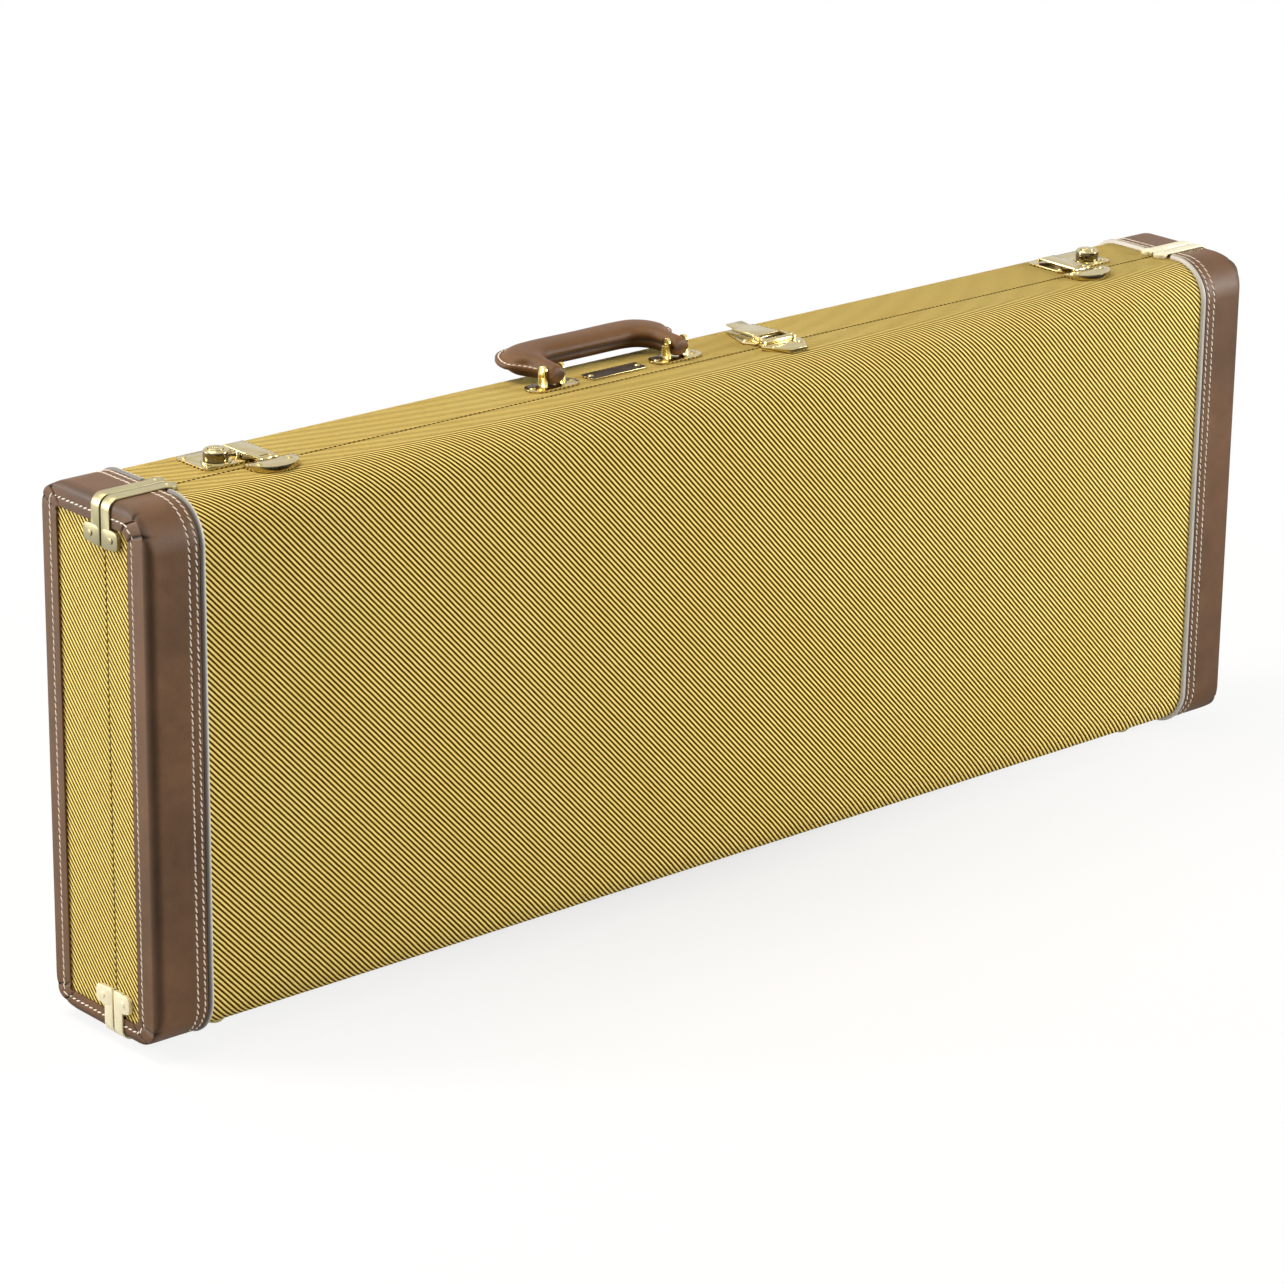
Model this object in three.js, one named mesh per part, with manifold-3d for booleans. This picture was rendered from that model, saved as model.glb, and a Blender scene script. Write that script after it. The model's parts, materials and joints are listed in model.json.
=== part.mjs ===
// Rectangular hard case for an electric guitar, closed and standing on its hinge side.
// Millimetres, +Z up, origin on the ground under the middle of the case.
// Inside the part, x runs along the case from its middle, y is measured back from the seam between
// the lid (in front) and the body (behind), and z is measured up from the underside of the shells.
import * as THREE from "three";
import { mergeVertices } from "three/addons/utils/BufferGeometryUtils.js";
import Module from "manifold-3d";

const wasm = await Module();
wasm.setup();

// Driving dimensions of the closed case
const case_length = 1030;
const shell_height = 373;
const lid_depth = 48.3;
const body_depth = 71.2;
const edge_radius = 28.4; // long edges, between the top or underside and the front or back
const end_radius = 6.75; // edges round the end faces, over the leather
const wall = 6; // tweed-covered plywood
const end_board = 8;
const leather_thickness = 1.5;
const seam_gap = 0.5; // from the seam plane to the rim of each shell
const fit = 0.3; // clearance between pieces that touch
const overrun = 5; // how far a cutting solid runs past what it cuts

// Leather ends and piping
const cap_length = 40.6; // from the end face to the piping
const cap_face_corner = 8; // corners of the leather on the end face, where it is gathered
const end_border_front = 21.2; // leather on the end face, along each of its sides
const end_border_back = 18.8;
const end_border_top = 16;
const end_border_underside = 13;
const piping_width = 5;
const piping_proud = 2.9; // above the tweed
const piping_rounding = 1.9;

// Brackets over the seam at the four corners of the case
const bracket = {
  thickness: 1.2,
  width: 9,
  from_seam: 1,
  along_top: 50.5, // from the end face to the end of the strip
  down_end: 31, // from the top of the shell to the end of the strip
  pad_edge: 46.9, // from the end face to where the strip steps down past the piping
  lug_radius: 5.6,
  lug_inset: 48,
  ear_radius: 6.8,
  ear_from_seam: 11.5,
  ear_drop: 24,
  rivet_radius: 2.2,
  rivet_height: 0.9,
};

// Handle: a leather grip on two riveted plates with ears
const handle = {
  x: -66.5,
  y: 17,
  pin_height: 10,
  leg_spacing: 114, // between the middles of the two legs
  leg_half_width: 6.5,
  leg_half_thickness: 7,
  grip_near: 25.5, // from the pin to the near and far edges of the grip
  grip_far: 56.5,
  grip_half_thickness: 8.5,
  shoulder_half: 73.5,
  inner_half: 42.5,
  shoulder_radius: 27,
  shoulder_start: 12,
  shoulder_full: 24,
  edge_rounding: 6,
  rest_tilt: THREE.MathUtils.degToRad(3),
  pin_radius: 1.8,
  pin_head_radius: 2.6,
  pin_head: 0.8,
  plate_length: 44,
  plate_width: 18,
  plate_thickness: 1.4,
  ear_thickness: 2.5,
  ear_half_depth: 3.6,
  ear_top: 16.4,
  screw_from_middle: 17.5,
};

// Bare plate between the legs of the handle
const badge = { length: 51, width: 14, thickness: 1.2, corner: 2.5, rivet_from_middle: 21.5 };

// Screw heads and rivets on the plates
const screw_radius = 2.4;
const screw_height = 0.9;
const dome_share = 0.72; // of a head's radius, at the top of its dome

// Side latches, the same at both ends of the case: sizes along x are measured from the end face
const latch = {
  plate_near: 88,
  plate_far: 144,
  plate_front: 7,
  plate_back: 43,
  plate_corner: 4,
  plate_thickness: 1.4,
  knob_inset: 104,
  knob_y: 18,
  knob_radius: 8.7,
  knob_top: 10.8,
  knob_chamfer: 1.2,
  knob_travel: 3.5,
  housing_radius: 10.4,
  housing_height: 1.3,
  stem_radius: 3,
  key_radius: 5.2,
  key_height: 4,
  key_proud: 0.5,
  key_slot_width: 1.1,
  key_slot_length: 6.4,
  key_slot_depth: 1.6,
  post_inset: 126,
  post_y: 22,
  post_radius: 2.4,
  post_height: 2.3,
  arm_inset: 130.5,
  arm_half_width: 8,
  arm_thickness: 1.3,
  arm_reach: 37.5, // from the seam to the back of the arm
  arm_top: 5.7,
  arm_front_top: 5.5,
  arm_end_radius: 3.2,
  arm_end_clear: 2.3, // from the top of the shell to the tip of the arm
  pin_y: -1.2,
  pin_height: 3.4,
  pin_radius: 1,
  knuckle_radius: 2.1,
  knuckle_half_width: 3.5,
  pin_half_length: 8,
  lid_plate_half_width: 18.5,
  lid_plate_reach: 24,
  lid_plate_near: 1.6,
  lid_plate_thickness: 2.4,
  lid_plate_straight: 10,
  lid_tray_near: 7, // from the seam to the raised part of the lid plate
  lid_tray_height: 4.2,
  lid_screw_half_spacing: 12.5,
  lid_screw_y: -11,
};

// Centre latch: a tension latch with a link, and a lever with a raised finger tab
const centre = {
  x: 71.5,
  base_front: 4,
  base_back: 42,
  base_half_front: 15,
  base_half_wide: 20,
  base_half_back: 10,
  base_wide_y: 13,
  plate_thickness: 1.4,
  lid_near: 1.6,
  lid_reach: 25.5,
  lid_half_near: 15,
  lid_half_wide: 20,
  lid_half_far: 8,
  lid_wide_y: 8,
  lid_thickness: 2.4,
  lug_inner: 13.2,
  lug_thickness: 2.6,
  lug_half_depth: 2.8,
  pin_y: -2.2,
  pin_height: 3.7,
  pin_radius: 1.2,
  knuckle_radius: 2.4,
  rail_inner: 10.8,
  rail_thickness: 2.1,
  rail_height: 1.6,
  rail_back: 38,
  bridge_front: 27,
  bridge_thickness: 1.1,
  lever_y: 9,
  lever_height: 3.9,
  lever_half_width: 10.4,
  lever_front: 7.2,
  lever_back: 35,
  lever_thickness: 1.3,
  lever_front_top: 6.3,
  lever_back_top: 5.5,
  lever_flange: 1.6,
  lever_flange_drop: 2.6,
  lever_pin_radius: 1.1,
  tab_half_width: 7.4,
  tab_reach: 44.5,
  tab_rise: 0.8,
  screw_half_spacing: 12.5,
  base_screw_y: 15,
  lid_screw_y: -13,
};

// Hinges on the underside
const hinge_positions_share = [-0.32, 0, 0.32]; // of the case's length
const hinge = {
  length: 52,
  leaf_depth: 20,
  leaf_thickness: 1.2,
  axis_drop: 3.3,
  knuckle_radius: 2.7,
  pin_radius: 1.1,
  middle_half: 8,
  screw_half_spacing: 17,
  screw_from_seam: 13,
};

// Domed feet on the underside
const foot = { height: 8, radius: 9.5, flat_radius: 5.5, rim: 2.2, inset: 73, lid_y: -10.8, body_y: 32 };

// Padding and fittings inside
const inside = {
  clearance: 0.6, // between the lining and the shells
  floor_pad: 14,
  cradle_front: 6, // from the seam to the front of the cradle
  cavity_end: 13, // cradle left beyond the instrument's body, at the end of the case
  body_length: 405,
  bout_margin: 13.9, // cradle left above and below the instrument's body at its widest
  waist_step: 38, // from the widest part of the body to its waist
  neck_half_width: 34,
  head_length: 205,
  head_half_width: 62,
  head_end: 20,
  rest_x: 118,
  rest_length: 46,
  rest_notch_half: 27,
  rest_notch_depth: 20,
  pocket_gap: 46.6, // from the instrument's body to the pocket
  pocket_length: 132,
  pocket_margin: 24.5, // cradle left between the neck and the pocket
  pocket_bottom: 30, // from the underside of the shell
  pocket_wall: 4,
  pocket_lid_thickness: 4,
  pocket_lid_back: 12, // from the seam to the front of the pocket's lid
  tab_length: 22,
  tab_width: 12,
  tab_thickness: 1.6,
  lid_pad: 20,
};

// How finely round shapes are cut into faces
const arc_steps = 4; // each quarter of an outline's corner has twice as many
const end_steps = 2;
const fine_steps = 20;
const round_steps = 28;
const small_round_steps = 14;
const cradle_steps = 8;
const weld = 1e-3;

const half_length = case_length / 2;
const leather_out = fit + leather_thickness;
const board_face = half_length - leather_out;
const board_inner = board_face - end_board;
const reach = case_length;
const top = shell_height;
const on_top = shell_height + fit; // where a plate on the top of the case begins
const lining_end = board_inner - inside.clearance;
const cavity_start = -lining_end + inside.cavity_end;
const cavity_shoulder = cavity_start + inside.body_length; // where the instrument's body ends and its neck begins
const pocket_start = cavity_shoulder + inside.pocket_gap;
const pocket_end = pocket_start + inside.pocket_length;
const pocket_top = shell_height / 2 - inside.neck_half_width - inside.pocket_margin;

// Materials
const finish = (color, roughness, metalness) => new THREE.MeshStandardMaterial({ color, roughness, metalness });
const tweed = finish(0xc8a247, 0.85, 0);
const leather = finish(0x7a5340, 0.6, 0);
const piping_white = finish(0xe9e4d6, 0.6, 0);
const brass = finish(0xcbb878, 0.28, 1);
const gold = finish(0xd3ae4c, 0.25, 1);
const dark_plate = finish(0x2b2320, 0.35, 1);
const plush = finish(0x8c4a2a, 0.95, 0);
const boxboard = finish(0x7d4327, 0.95, 0);

// Turns a geometry into a solid: one copy of each shared vertex, no empty triangles
function solidOf(geometry) {
  const bare = geometry.index ? geometry.toNonIndexed() : geometry.clone();
  bare.deleteAttribute("normal");
  bare.deleteAttribute("uv");
  const merged = mergeVertices(bare, weld);
  const index = merged.index.array;
  const kept = [];
  for (let i = 0; i < index.length; i += 3) {
    const [a, b, c] = [index[i], index[i + 1], index[i + 2]];
    if (a !== b && b !== c && c !== a) kept.push(a, b, c);
  }
  const positions = merged.attributes.position.array;
  const mesh = new wasm.Mesh({ numProp: 3, vertProperties: positions, triVerts: new Uint32Array(kept) });
  return new wasm.Manifold(mesh);
}

const join = (...solids) => solids.reduce((all, solid) => all.add(solid));
const cut = (solid, ...tools) => tools.reduce((rest, tool) => rest.subtract(tool), solid);

// Extrusions: a shape drawn in (y, z) runs along x, one in (x, z) along y, and one in (x, y) along z
const shape_to_x = new THREE.Matrix4().makeBasis(
  new THREE.Vector3(0, 1, 0),
  new THREE.Vector3(0, 0, 1),
  new THREE.Vector3(1, 0, 0),
);
const shape_to_y = new THREE.Matrix4().makeBasis(
  new THREE.Vector3(1, 0, 0),
  new THREE.Vector3(0, 0, 1),
  new THREE.Vector3(0, -1, 0),
);

function extrusion(shape, length, rounding, rounding_steps, steps) {
  return new THREE.ExtrudeGeometry(shape, {
    depth: length - 2 * rounding,
    bevelEnabled: rounding > 0,
    bevelThickness: rounding,
    bevelSize: rounding,
    bevelOffset: -rounding,
    bevelSegments: rounding_steps,
    curveSegments: steps,
  }).translate(0, 0, rounding);
}

function alongX(shape, x0, x1, rounding = 0, rounding_steps = end_steps, steps = arc_steps) {
  const geometry = extrusion(shape, x1 - x0, rounding, rounding_steps, steps);
  return solidOf(geometry.applyMatrix4(shape_to_x).translate(x0, 0, 0));
}

function alongY(shape, y0, y1, rounding = 0, rounding_steps = end_steps, steps = arc_steps) {
  const geometry = extrusion(shape, y1 - y0, rounding, rounding_steps, steps);
  return solidOf(geometry.applyMatrix4(shape_to_y).translate(0, y1, 0));
}

function alongZ(shape, z0, z1, rounding = 0, rounding_steps = end_steps, steps = arc_steps) {
  const geometry = extrusion(shape, z1 - z0, rounding, rounding_steps, steps);
  return solidOf(geometry.translate(0, 0, z0));
}

function box(x0, x1, y0, y1, z0, z1) {
  const geometry = new THREE.BoxGeometry(x1 - x0, y1 - y0, z1 - z0);
  return solidOf(geometry.translate((x0 + x1) / 2, (y0 + y1) / 2, (z0 + z1) / 2));
}

// A turned solid about the z axis through (x, y): the profile's points are [radius, z]
function turned(profile, x, y, steps = round_steps) {
  const points = profile.map(([r, z]) => new THREE.Vector2(r, z));
  return solidOf(new THREE.LatheGeometry(points, steps).rotateX(Math.PI / 2).translate(x, y, 0));
}

function rod(x0, x1, y, z, radius, steps = small_round_steps) {
  const geometry = new THREE.CylinderGeometry(radius, radius, x1 - x0, steps);
  return solidOf(geometry.rotateZ(Math.PI / 2).translate((x0 + x1) / 2, y, z));
}

function post(x, y, z0, z1, radius, steps = round_steps) {
  const profile = [[0, z0], [radius, z0], [radius, z1], [0, z1]];
  return turned(profile, x, y, steps);
}

function roundedRect(x0, x1, y0, y1, radius) {
  const shape = new THREE.Shape();
  shape.moveTo(x0 + radius, y0);
  shape.lineTo(x1 - radius, y0);
  shape.absarc(x1 - radius, y0 + radius, radius, -Math.PI / 2, 0);
  shape.lineTo(x1, y1 - radius);
  shape.absarc(x1 - radius, y1 - radius, radius, 0, Math.PI / 2);
  shape.lineTo(x0 + radius, y1);
  shape.absarc(x0 + radius, y1 - radius, radius, Math.PI / 2, Math.PI);
  shape.lineTo(x0, y0 + radius);
  shape.absarc(x0 + radius, y0 + radius, radius, Math.PI, 1.5 * Math.PI);
  return shape;
}

function polygon(points) {
  return new THREE.Shape(points.map(([x, y]) => new THREE.Vector2(x, y)));
}

// A shallow domed rivet or screw head standing on a plate at height z
function domeOnTop(x, y, z, radius = screw_radius, height = screw_height) {
  const profile = [[0, z - fit], [radius, z - fit], [radius * dome_share, z + height], [0, z + height]];
  return turned(profile, x, y, small_round_steps);
}

const root = new THREE.Group();
root.position.set(0, (lid_depth - body_depth) / 2, foot.height);

function addPiece(name, solid, material, parent = root) {
  const data = solid.getMesh();
  const geometry = new THREE.BufferGeometry();
  geometry.setAttribute("position", new THREE.BufferAttribute(data.vertProperties, 3));
  geometry.setIndex(new THREE.BufferAttribute(data.triVerts, 1));
  geometry.computeVertexNormals();
  const mesh = new THREE.Mesh(geometry, material);
  mesh.name = name;
  parent.add(mesh);
}

// Both ends of the case are alike: pieces are made for the right end, and mirrored for the left
const ends = ["right", "left"].map((name) => {
  const group = new THREE.Group();
  group.scale.x = name === "right" ? 1 : -1;
  root.add(group);
  return { name, group };
});

// The two shells: side is +1 behind the seam and -1 in front of it
const shells = [
  { name: "body", side: 1, depth: body_depth, border: end_border_back },
  { name: "lid", side: -1, depth: lid_depth, border: end_border_front },
];

// The part of a solid that lies on one side of the seam, starting some way from it
function half(solid, side, from = seam_gap) {
  const [y0, y1] = side > 0 ? [from, reach] : [-reach, -from];
  return solid.intersect(box(-reach, reach, y0, y1, -reach, reach));
}

const caseOutline = (out, radius = edge_radius) =>
  roundedRect(-lid_depth - out, body_depth + out, -out, shell_height + out, radius + out);

// The whole case as one block, every face moved outwards alike from the tweed
function caseBlock(out) {
  const radius = end_radius - leather_out + out;
  return alongX(caseOutline(out), -board_face - out, board_face + out, radius);
}

// Tweed-covered shells and their end boards
function addShells() {
  const hollow = alongX(caseOutline(-wall), -reach, reach);
  const wrap = cut(caseBlock(0), hollow);
  const board = alongX(caseOutline(-wall - fit), board_inner, board_face);
  for (const { name, side } of shells) {
    addPiece(`${name}_shell`, half(wrap, side), tweed);
    for (const end of ends) addPiece(`${name}_end_board_${end.name}`, half(board, side), tweed, end.group);
  }
}

// Leather over the ends, folded onto the end faces as a border round a tweed window
function addLeather() {
  const start = half_length - cap_length;
  const sleeve = alongX(caseOutline(leather_out), start, half_length - end_radius);
  const rounded = alongX(caseOutline(leather_out), start, half_length, end_radius);
  const face_out = leather_out - end_radius;
  const face = alongX(caseOutline(face_out, cap_face_corner - face_out), half_length - fit, half_length);
  const block = wasm.Manifold.hull([sleeve, rounded, face]);
  const cap = cut(block, caseBlock(fit));
  for (const { name, side, depth, border } of shells) {
    const border_y = side * (depth - border);
    const window_end = box(
      board_inner,
      reach,
      Math.min(-side * overrun, border_y),
      Math.max(-side * overrun, border_y),
      end_border_underside,
      shell_height - end_border_top,
    );
    const piece = half(cut(cap, window_end), side);
    for (const end of ends) addPiece(`${name}_leather_${end.name}`, piece, leather, end.group);
  }
}

// Piping where the leather meets the tweed: it stops at the brackets over the seam
function addPiping() {
  const x1 = half_length - cap_length - fit;
  const x0 = x1 - piping_width;
  const bead = alongX(caseOutline(piping_proud), x0, x1, piping_rounding);
  const inner = alongX(caseOutline(fit), x0 - overrun, x1 + overrun);
  const cord = cut(bead, inner);
  const from = bracket.from_seam + 2 * bracket.lug_radius + fit;
  for (const { name, side } of shells)
    for (const end of ends) addPiece(`${name}_piping_${end.name}`, half(cord, side, from), piping_white, end.group);
}

// One strip of a bracket: along the top, round the end edge and down the end face, in (x, z)
function bracketProfile() {
  const skin_in = leather_out + fit;
  const skin_out = skin_in + bracket.thickness;
  const face_in = board_face + skin_in;
  const face_out = board_face + skin_out;
  const inner_radius = end_radius + fit;
  const outer_radius = inner_radius + bracket.thickness;
  const arc_x = face_out - outer_radius;
  const arc_z = top + skin_out - outer_radius;
  const strip_start = half_length - bracket.along_top;
  const pad_x = half_length - bracket.pad_edge;
  const pad_z = top - Math.max(end_border_top, end_border_underside) - fit;
  const strip_end = top - bracket.down_end;
  const shape = new THREE.Shape();
  shape.moveTo(strip_start, on_top);
  shape.lineTo(pad_x, on_top);
  shape.lineTo(pad_x, top + skin_in);
  shape.lineTo(arc_x, top + skin_in);
  shape.absarc(arc_x, arc_z, inner_radius, Math.PI / 2, 0, true);
  shape.lineTo(face_in, pad_z);
  shape.lineTo(board_face + fit, pad_z);
  shape.lineTo(board_face + fit, strip_end);
  shape.lineTo(face_out, strip_end);
  shape.lineTo(face_out, arc_z);
  shape.absarc(arc_x, arc_z, outer_radius, 0, Math.PI / 2);
  shape.lineTo(strip_start, top + skin_out);
  return shape;
}

// A bracket strip with its round lug on the top, its ear on the end face, and a rivet in each
function bracketSolid(side) {
  const y_near = side * bracket.from_seam;
  const y_far = side * (bracket.from_seam + bracket.width);
  const strip = alongY(bracketProfile(), Math.min(y_near, y_far), Math.max(y_near, y_far));
  const face_top = top + leather_out + fit + bracket.thickness;
  const face_end = board_face + leather_out + fit + bracket.thickness;
  const lug_x = half_length - bracket.lug_inset;
  const lug_y = side * (bracket.from_seam + bracket.lug_radius);
  const lug = post(lug_x, lug_y, on_top, face_top, bracket.lug_radius);
  const lug_trim = box(half_length - bracket.pad_edge, reach, -reach, reach, 0, top + leather_out + fit);
  const lug_rivet = domeOnTop(lug_x, lug_y, face_top, bracket.rivet_radius, bracket.rivet_height);
  const ear_z = top - bracket.ear_drop;
  const ear_y = side * bracket.ear_from_seam;
  const ear = rod(board_face + fit, face_end, ear_y, ear_z, bracket.ear_radius, round_steps);
  const rivet_face = face_end + bracket.rivet_height;
  const rivet = rod(face_end - fit, rivet_face, ear_y, ear_z, bracket.rivet_radius, small_round_steps);
  return join(strip, cut(lug, lug_trim), lug_rivet, ear, rivet);
}

function addBrackets() {
  for (const { name, side } of shells) {
    const solid = bracketSolid(side);
    for (const end of ends)
      for (const level of ["top", "bottom"]) {
        const flip = new THREE.Group();
        flip.scale.z = level === "top" ? 1 : -1;
        flip.position.z = level === "top" ? 0 : shell_height;
        end.group.add(flip);
        addPiece(`${name}_bracket_${level}_${end.name}`, solid, brass, flip);
      }
  }
}

// Leather grip, drawn lying back: x across the legs, y from the pin to the grip, z through its thickness
function gripSolid() {
  const leg = handle.leg_spacing / 2;
  const outer_leg = leg + handle.leg_half_width;
  const inner_leg = leg - handle.leg_half_width;
  const corner_x = handle.shoulder_half - handle.shoulder_radius;
  const corner_y = handle.grip_far - handle.shoulder_radius;
  const leg_end = -handle.leg_half_thickness;
  const plan = new THREE.Shape();
  plan.moveTo(outer_leg, leg_end);
  plan.lineTo(outer_leg, handle.shoulder_start);
  plan.lineTo(handle.shoulder_half, handle.shoulder_full);
  plan.lineTo(handle.shoulder_half, corner_y);
  plan.absarc(corner_x, corner_y, handle.shoulder_radius, 0, Math.PI / 2);
  plan.absarc(-corner_x, corner_y, handle.shoulder_radius, Math.PI / 2, Math.PI);
  plan.lineTo(-handle.shoulder_half, handle.shoulder_full);
  plan.lineTo(-outer_leg, handle.shoulder_start);
  plan.lineTo(-outer_leg, leg_end);
  plan.lineTo(-inner_leg, leg_end);
  plan.lineTo(-inner_leg, handle.shoulder_start);
  plan.lineTo(-handle.inner_half, handle.grip_near);
  plan.lineTo(handle.inner_half, handle.grip_near);
  plan.lineTo(inner_leg, handle.shoulder_start);
  plan.lineTo(inner_leg, leg_end);
  const thick = handle.grip_half_thickness;
  const slab = alongZ(plan, -thick, thick, handle.edge_rounding, end_steps + 1);
  const side_view = new THREE.Shape();
  side_view.absarc(0, 0, handle.leg_half_thickness, Math.PI / 2, 1.5 * Math.PI);
  side_view.lineTo(handle.shoulder_start, -handle.leg_half_thickness);
  side_view.lineTo(handle.grip_near, -thick);
  side_view.lineTo(handle.grip_far, -thick);
  side_view.lineTo(handle.grip_far, thick);
  side_view.lineTo(handle.grip_near, thick);
  side_view.lineTo(handle.shoulder_start, handle.leg_half_thickness);
  const profile = alongX(side_view, -handle.shoulder_half, handle.shoulder_half);
  const bore = rod(-reach, reach, 0, 0, handle.pin_radius + fit);
  return cut(slab.intersect(profile), bore);
}

// Handle plate with two ears, and the pin staked through them
function handlePlateSolid() {
  const end_round = handle.plate_width / 2;
  const plate_top = on_top + handle.plate_thickness;
  const half_plate = handle.plate_length / 2;
  const oval = roundedRect(-half_plate, half_plate, handle.y - end_round, handle.y + end_round, end_round - fit);
  const parts = [alongZ(oval, on_top, plate_top)];
  const ear_in = handle.leg_half_width + fit;
  const ear_out = ear_in + handle.ear_thickness;
  const ear_side = new THREE.Shape();
  const ear_arc_z = top + handle.ear_top - handle.ear_half_depth;
  ear_side.moveTo(handle.y - handle.ear_half_depth, plate_top - fit);
  ear_side.lineTo(handle.y + handle.ear_half_depth, plate_top - fit);
  ear_side.lineTo(handle.y + handle.ear_half_depth, ear_arc_z);
  ear_side.absarc(handle.y, ear_arc_z, handle.ear_half_depth, 0, Math.PI);
  parts.push(alongX(ear_side, ear_in, ear_out), alongX(ear_side, -ear_out, -ear_in));
  for (const side of [-1, 1]) parts.push(domeOnTop(side * handle.screw_from_middle, handle.y, plate_top));
  const pin_z = top + handle.pin_height;
  const head = ear_out + handle.pin_head;
  parts.push(rod(-head, head, handle.y, pin_z, handle.pin_radius));
  parts.push(rod(ear_out - fit, head, handle.y, pin_z, handle.pin_head_radius));
  parts.push(rod(-head, -ear_out + fit, handle.y, pin_z, handle.pin_head_radius));
  return join(...parts);
}

function addHandle() {
  const grip_group = new THREE.Group();
  grip_group.position.set(handle.x, handle.y, top + handle.pin_height);
  grip_group.rotation.x = handle.rest_tilt;
  root.add(grip_group);
  addPiece("handle_grip", gripSolid(), leather, grip_group);
  const plate = handlePlateSolid();
  for (const [name, side] of [["left", -1], ["right", 1]]) {
    const group = new THREE.Group();
    group.position.x = handle.x + (side * handle.leg_spacing) / 2;
    root.add(group);
    addPiece(`handle_plate_${name}`, plate, gold, group);
  }
}

function addBadge() {
  const plate_top = on_top + badge.thickness;
  const x0 = handle.x - badge.length / 2;
  const y0 = handle.y - badge.width / 2;
  const outline = roundedRect(x0, x0 + badge.length, y0, y0 + badge.width, badge.corner);
  const plate = alongZ(outline, on_top, plate_top);
  const rivets = [-1, 1].map((side) => domeOnTop(handle.x + side * badge.rivet_from_middle, handle.y, plate_top));
  addPiece("badge_plate", join(plate, ...rivets), dark_plate);
}

// Side latch on the body: a base plate with a slotted housing, a sliding knob and its key cylinder
function addLatchBody(end) {
  const plate_top = on_top + latch.plate_thickness;
  const housing_top = plate_top + latch.housing_height;
  const outline = roundedRect(
    half_length - latch.plate_far,
    half_length - latch.plate_near,
    latch.plate_front,
    latch.plate_back,
    latch.plate_corner,
  );
  const knob_x = half_length - latch.knob_inset;
  const post_x = half_length - latch.post_inset;
  const slot_radius = latch.stem_radius + fit;
  const slot = roundedRect(
    knob_x - slot_radius,
    knob_x + latch.knob_travel + slot_radius,
    latch.knob_y - slot_radius,
    latch.knob_y + slot_radius,
    slot_radius - weld,
  );
  const screw_x = [latch.plate_near, latch.plate_far].map(
    (inset, i) => half_length - inset + (i ? 1 : -1) * 2 * screw_radius,
  );
  const solid_plate = join(
    alongZ(outline, on_top, plate_top),
    post(knob_x, latch.knob_y, plate_top - fit, housing_top, latch.housing_radius),
    post(post_x, latch.post_y, plate_top - fit, plate_top + latch.post_height, latch.post_radius),
    domeOnTop(screw_x[0], latch.plate_back - 2 * screw_radius, plate_top),
    domeOnTop(screw_x[0], latch.plate_front + 2 * screw_radius, plate_top),
    domeOnTop(screw_x[1], latch.plate_front + 2 * screw_radius, plate_top),
  );
  const base = cut(solid_plate, alongZ(slot, on_top - overrun, housing_top + overrun));
  addPiece(`latch_base_${end.name}`, base, brass, end.group);

  const knob_bottom = housing_top + fit;
  const knob_top = top + latch.knob_top;
  const knob_profile = [
    [0, on_top + fit],
    [latch.stem_radius, on_top + fit],
    [latch.stem_radius, knob_bottom],
    [latch.knob_radius, knob_bottom],
    [latch.knob_radius, knob_top - latch.knob_chamfer],
    [latch.knob_radius - latch.knob_chamfer, knob_top],
    [0, knob_top],
  ];
  const key_floor = knob_top + latch.key_proud - latch.key_height;
  const bore = post(knob_x, latch.knob_y, key_floor - fit, knob_top + overrun, latch.key_radius + fit);
  addPiece(`latch_knob_${end.name}`, cut(turned(knob_profile, knob_x, latch.knob_y), bore), brass, end.group);

  const key_top = knob_top + latch.key_proud;
  const half_slot = latch.key_slot_width / 2;
  const half_slot_length = latch.key_slot_length / 2;
  const key_slot = box(
    knob_x - half_slot,
    knob_x + half_slot,
    latch.knob_y - half_slot_length,
    latch.knob_y + half_slot_length,
    key_top - latch.key_slot_depth,
    key_top + overrun,
  );
  const cylinder = post(knob_x, latch.knob_y, key_floor, key_top, latch.key_radius);
  addPiece(`key_cylinder_${end.name}`, cut(cylinder, key_slot), gold, end.group);
}

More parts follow.
